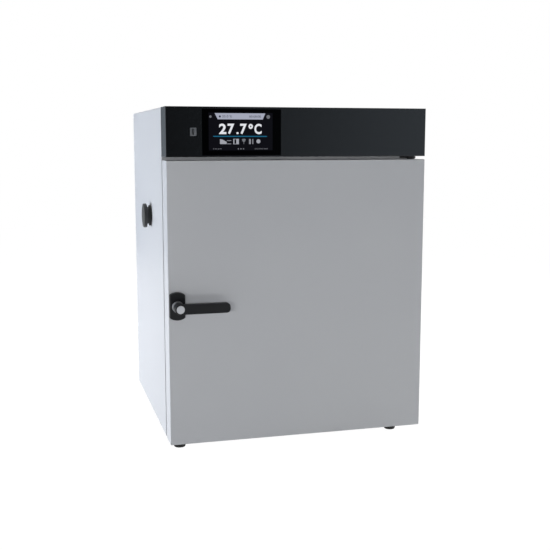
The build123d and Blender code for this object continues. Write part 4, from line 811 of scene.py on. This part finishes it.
# %% World and lamps
ambient_strength = 0.1
world = bpy.data.worlds.new("studio_world")
bpy.context.scene.world = world
world.use_nodes = True
world_tree = world.node_tree
ambient = world_tree.nodes["Background"]
ambient.inputs["Color"].default_value = (0.93, 0.96, 1.0, 1.0)
ambient.inputs["Strength"].default_value = ambient_strength
white_ground = world_tree.nodes.new("ShaderNodeBackground")
white_ground.inputs["Color"].default_value = (1.0, 1.0, 1.0, 1.0)
world_mix = world_tree.nodes.new("ShaderNodeMixShader")
world_output = world_tree.nodes["World Output"]
world_tree.links.new(seen_rays(world_tree), world_mix.inputs["Fac"])
world_tree.links.new(ambient.outputs["Background"], world_mix.inputs[1])
world_tree.links.new(white_ground.outputs["Background"], world_mix.inputs[2])
world_tree.links.new(world_mix.outputs["Shader"], world_output.inputs["Surface"])


def add_lamp(name, place, target, width, height, power, tint=(1.0, 1.0, 1.0)):
    """A soft rectangular lamp that looks at a target."""
    lamp_data = bpy.data.lights.new(name, "AREA")
    lamp_data.shape = "RECTANGLE"
    lamp_data.size = width
    lamp_data.size_y = height
    lamp_data.energy = power
    lamp_data.color = tint
    lamp = bpy.data.objects.new(name, lamp_data)
    bpy.context.scene.collection.objects.link(lamp)
    lamp.location = place
    lamp.rotation_euler = (Vector(target) - Vector(place)).to_track_quat("-Z", "Y").to_euler()
    lamp.visible_camera = False
    lamp.visible_glossy = False
    print("lamp", name, "gives", power, "W")


add_lamp("left_softbox", (-2.4, 0.35, 0.35), (-0.3, 0.15, 0.3), 1.4, 0.7, 52.0, (0.91, 0.95, 1.02))
add_lamp("camera_strip", (-1.15, -2.75, 0.74), (0.0, -0.3, 0.74), 1.2, 0.16, 19.5)
add_lamp("right_fill", (1.9, -2.2, 0.5), (0.1, -0.3, 0.4), 1.2, 0.8, 8.0)
add_lamp("low_front_lamp", (-0.2, -1.9, 0.06), (0.05, -0.3, 0.5), 2.0, 0.12, 3.2)
add_lamp("rear_softbox", (0.6, 2.6, 1.5), (0.0, 0.3, 0.5), 1.6, 1.2, 45.0)
add_lamp("right_softbox", (2.6, 0.5, 0.9), (0.3, 0.2, 0.4), 1.4, 1.0, 40.0)

# %% [markdown]
# Glossy paint shows what it faces. Behind the camera stands a dark screen that grows lighter
# to the right, which gives the panel its gradient. A second one, far behind the oven on the
# left, is mirrored by the panel's side and the upper part of the left side. The lower part
# mirrors the white floor. Only mirror images see the screens, so they dim nothing else.


# %% Dark screens for the reflections
def add_dark_screen(name, middle, half_width, half_height, ramp):
    """An upright screen; ramp gives two places along X, and then the brightness at each."""
    sheet = bmesh.new()
    bmesh.ops.create_grid(sheet, x_segments=1, y_segments=1, size=1.0)
    bmesh.ops.scale(sheet, verts=sheet.verts, vec=(half_width, half_height, 1.0))
    stand = Matrix.Translation(middle) @ Matrix.Rotation(math.pi / 2, 4, "X")
    bmesh.ops.transform(sheet, verts=sheet.verts, matrix=stand)
    mesh = bpy.data.meshes.new(name)
    sheet.to_mesh(mesh)
    sheet.free()
    screen = bpy.data.objects.new(name, mesh)
    bpy.context.scene.collection.objects.link(screen)
    material = bpy.data.materials.new(name)
    material.use_nodes = True
    tree = material.node_tree
    light = tree.nodes.new("ShaderNodeEmission")
    light.inputs["Color"].default_value = (0.85, 0.97, 1.1, 1.0)
    place = tree.nodes.new("ShaderNodeTexCoord")
    axes = tree.nodes.new("ShaderNodeSeparateXYZ")
    brightness = tree.nodes.new("ShaderNodeMapRange")
    for label, value in zip(("From Min", "From Max", "To Min", "To Max"), ramp):
        brightness.inputs[label].default_value = value
    tree.links.new(place.outputs["Object"], axes.inputs["Vector"])
    tree.links.new(axes.outputs["X"], brightness.inputs["Value"])
    tree.links.new(brightness.outputs["Result"], light.inputs["Strength"])
    tree.links.new(light.outputs["Emission"], tree.nodes["Material Output"].inputs["Surface"])
    mesh.materials.append(material)
    screen.visible_camera = False
    screen.visible_diffuse = False
    screen.visible_shadow = False
    screen.visible_transmission = False
    print("screen", name, "stands at y =", middle[1])


add_dark_screen("front_dark_screen", (0.6, -4.2, 1.3), 3.2, 1.3, (0.2, 2.2, 0.0, 0.68))
add_dark_screen("rear_dark_screen", (-2.3, 3.6, 1.5), 1.9, 1.5, (-4.0, 0.0, 0.28, 0.28))
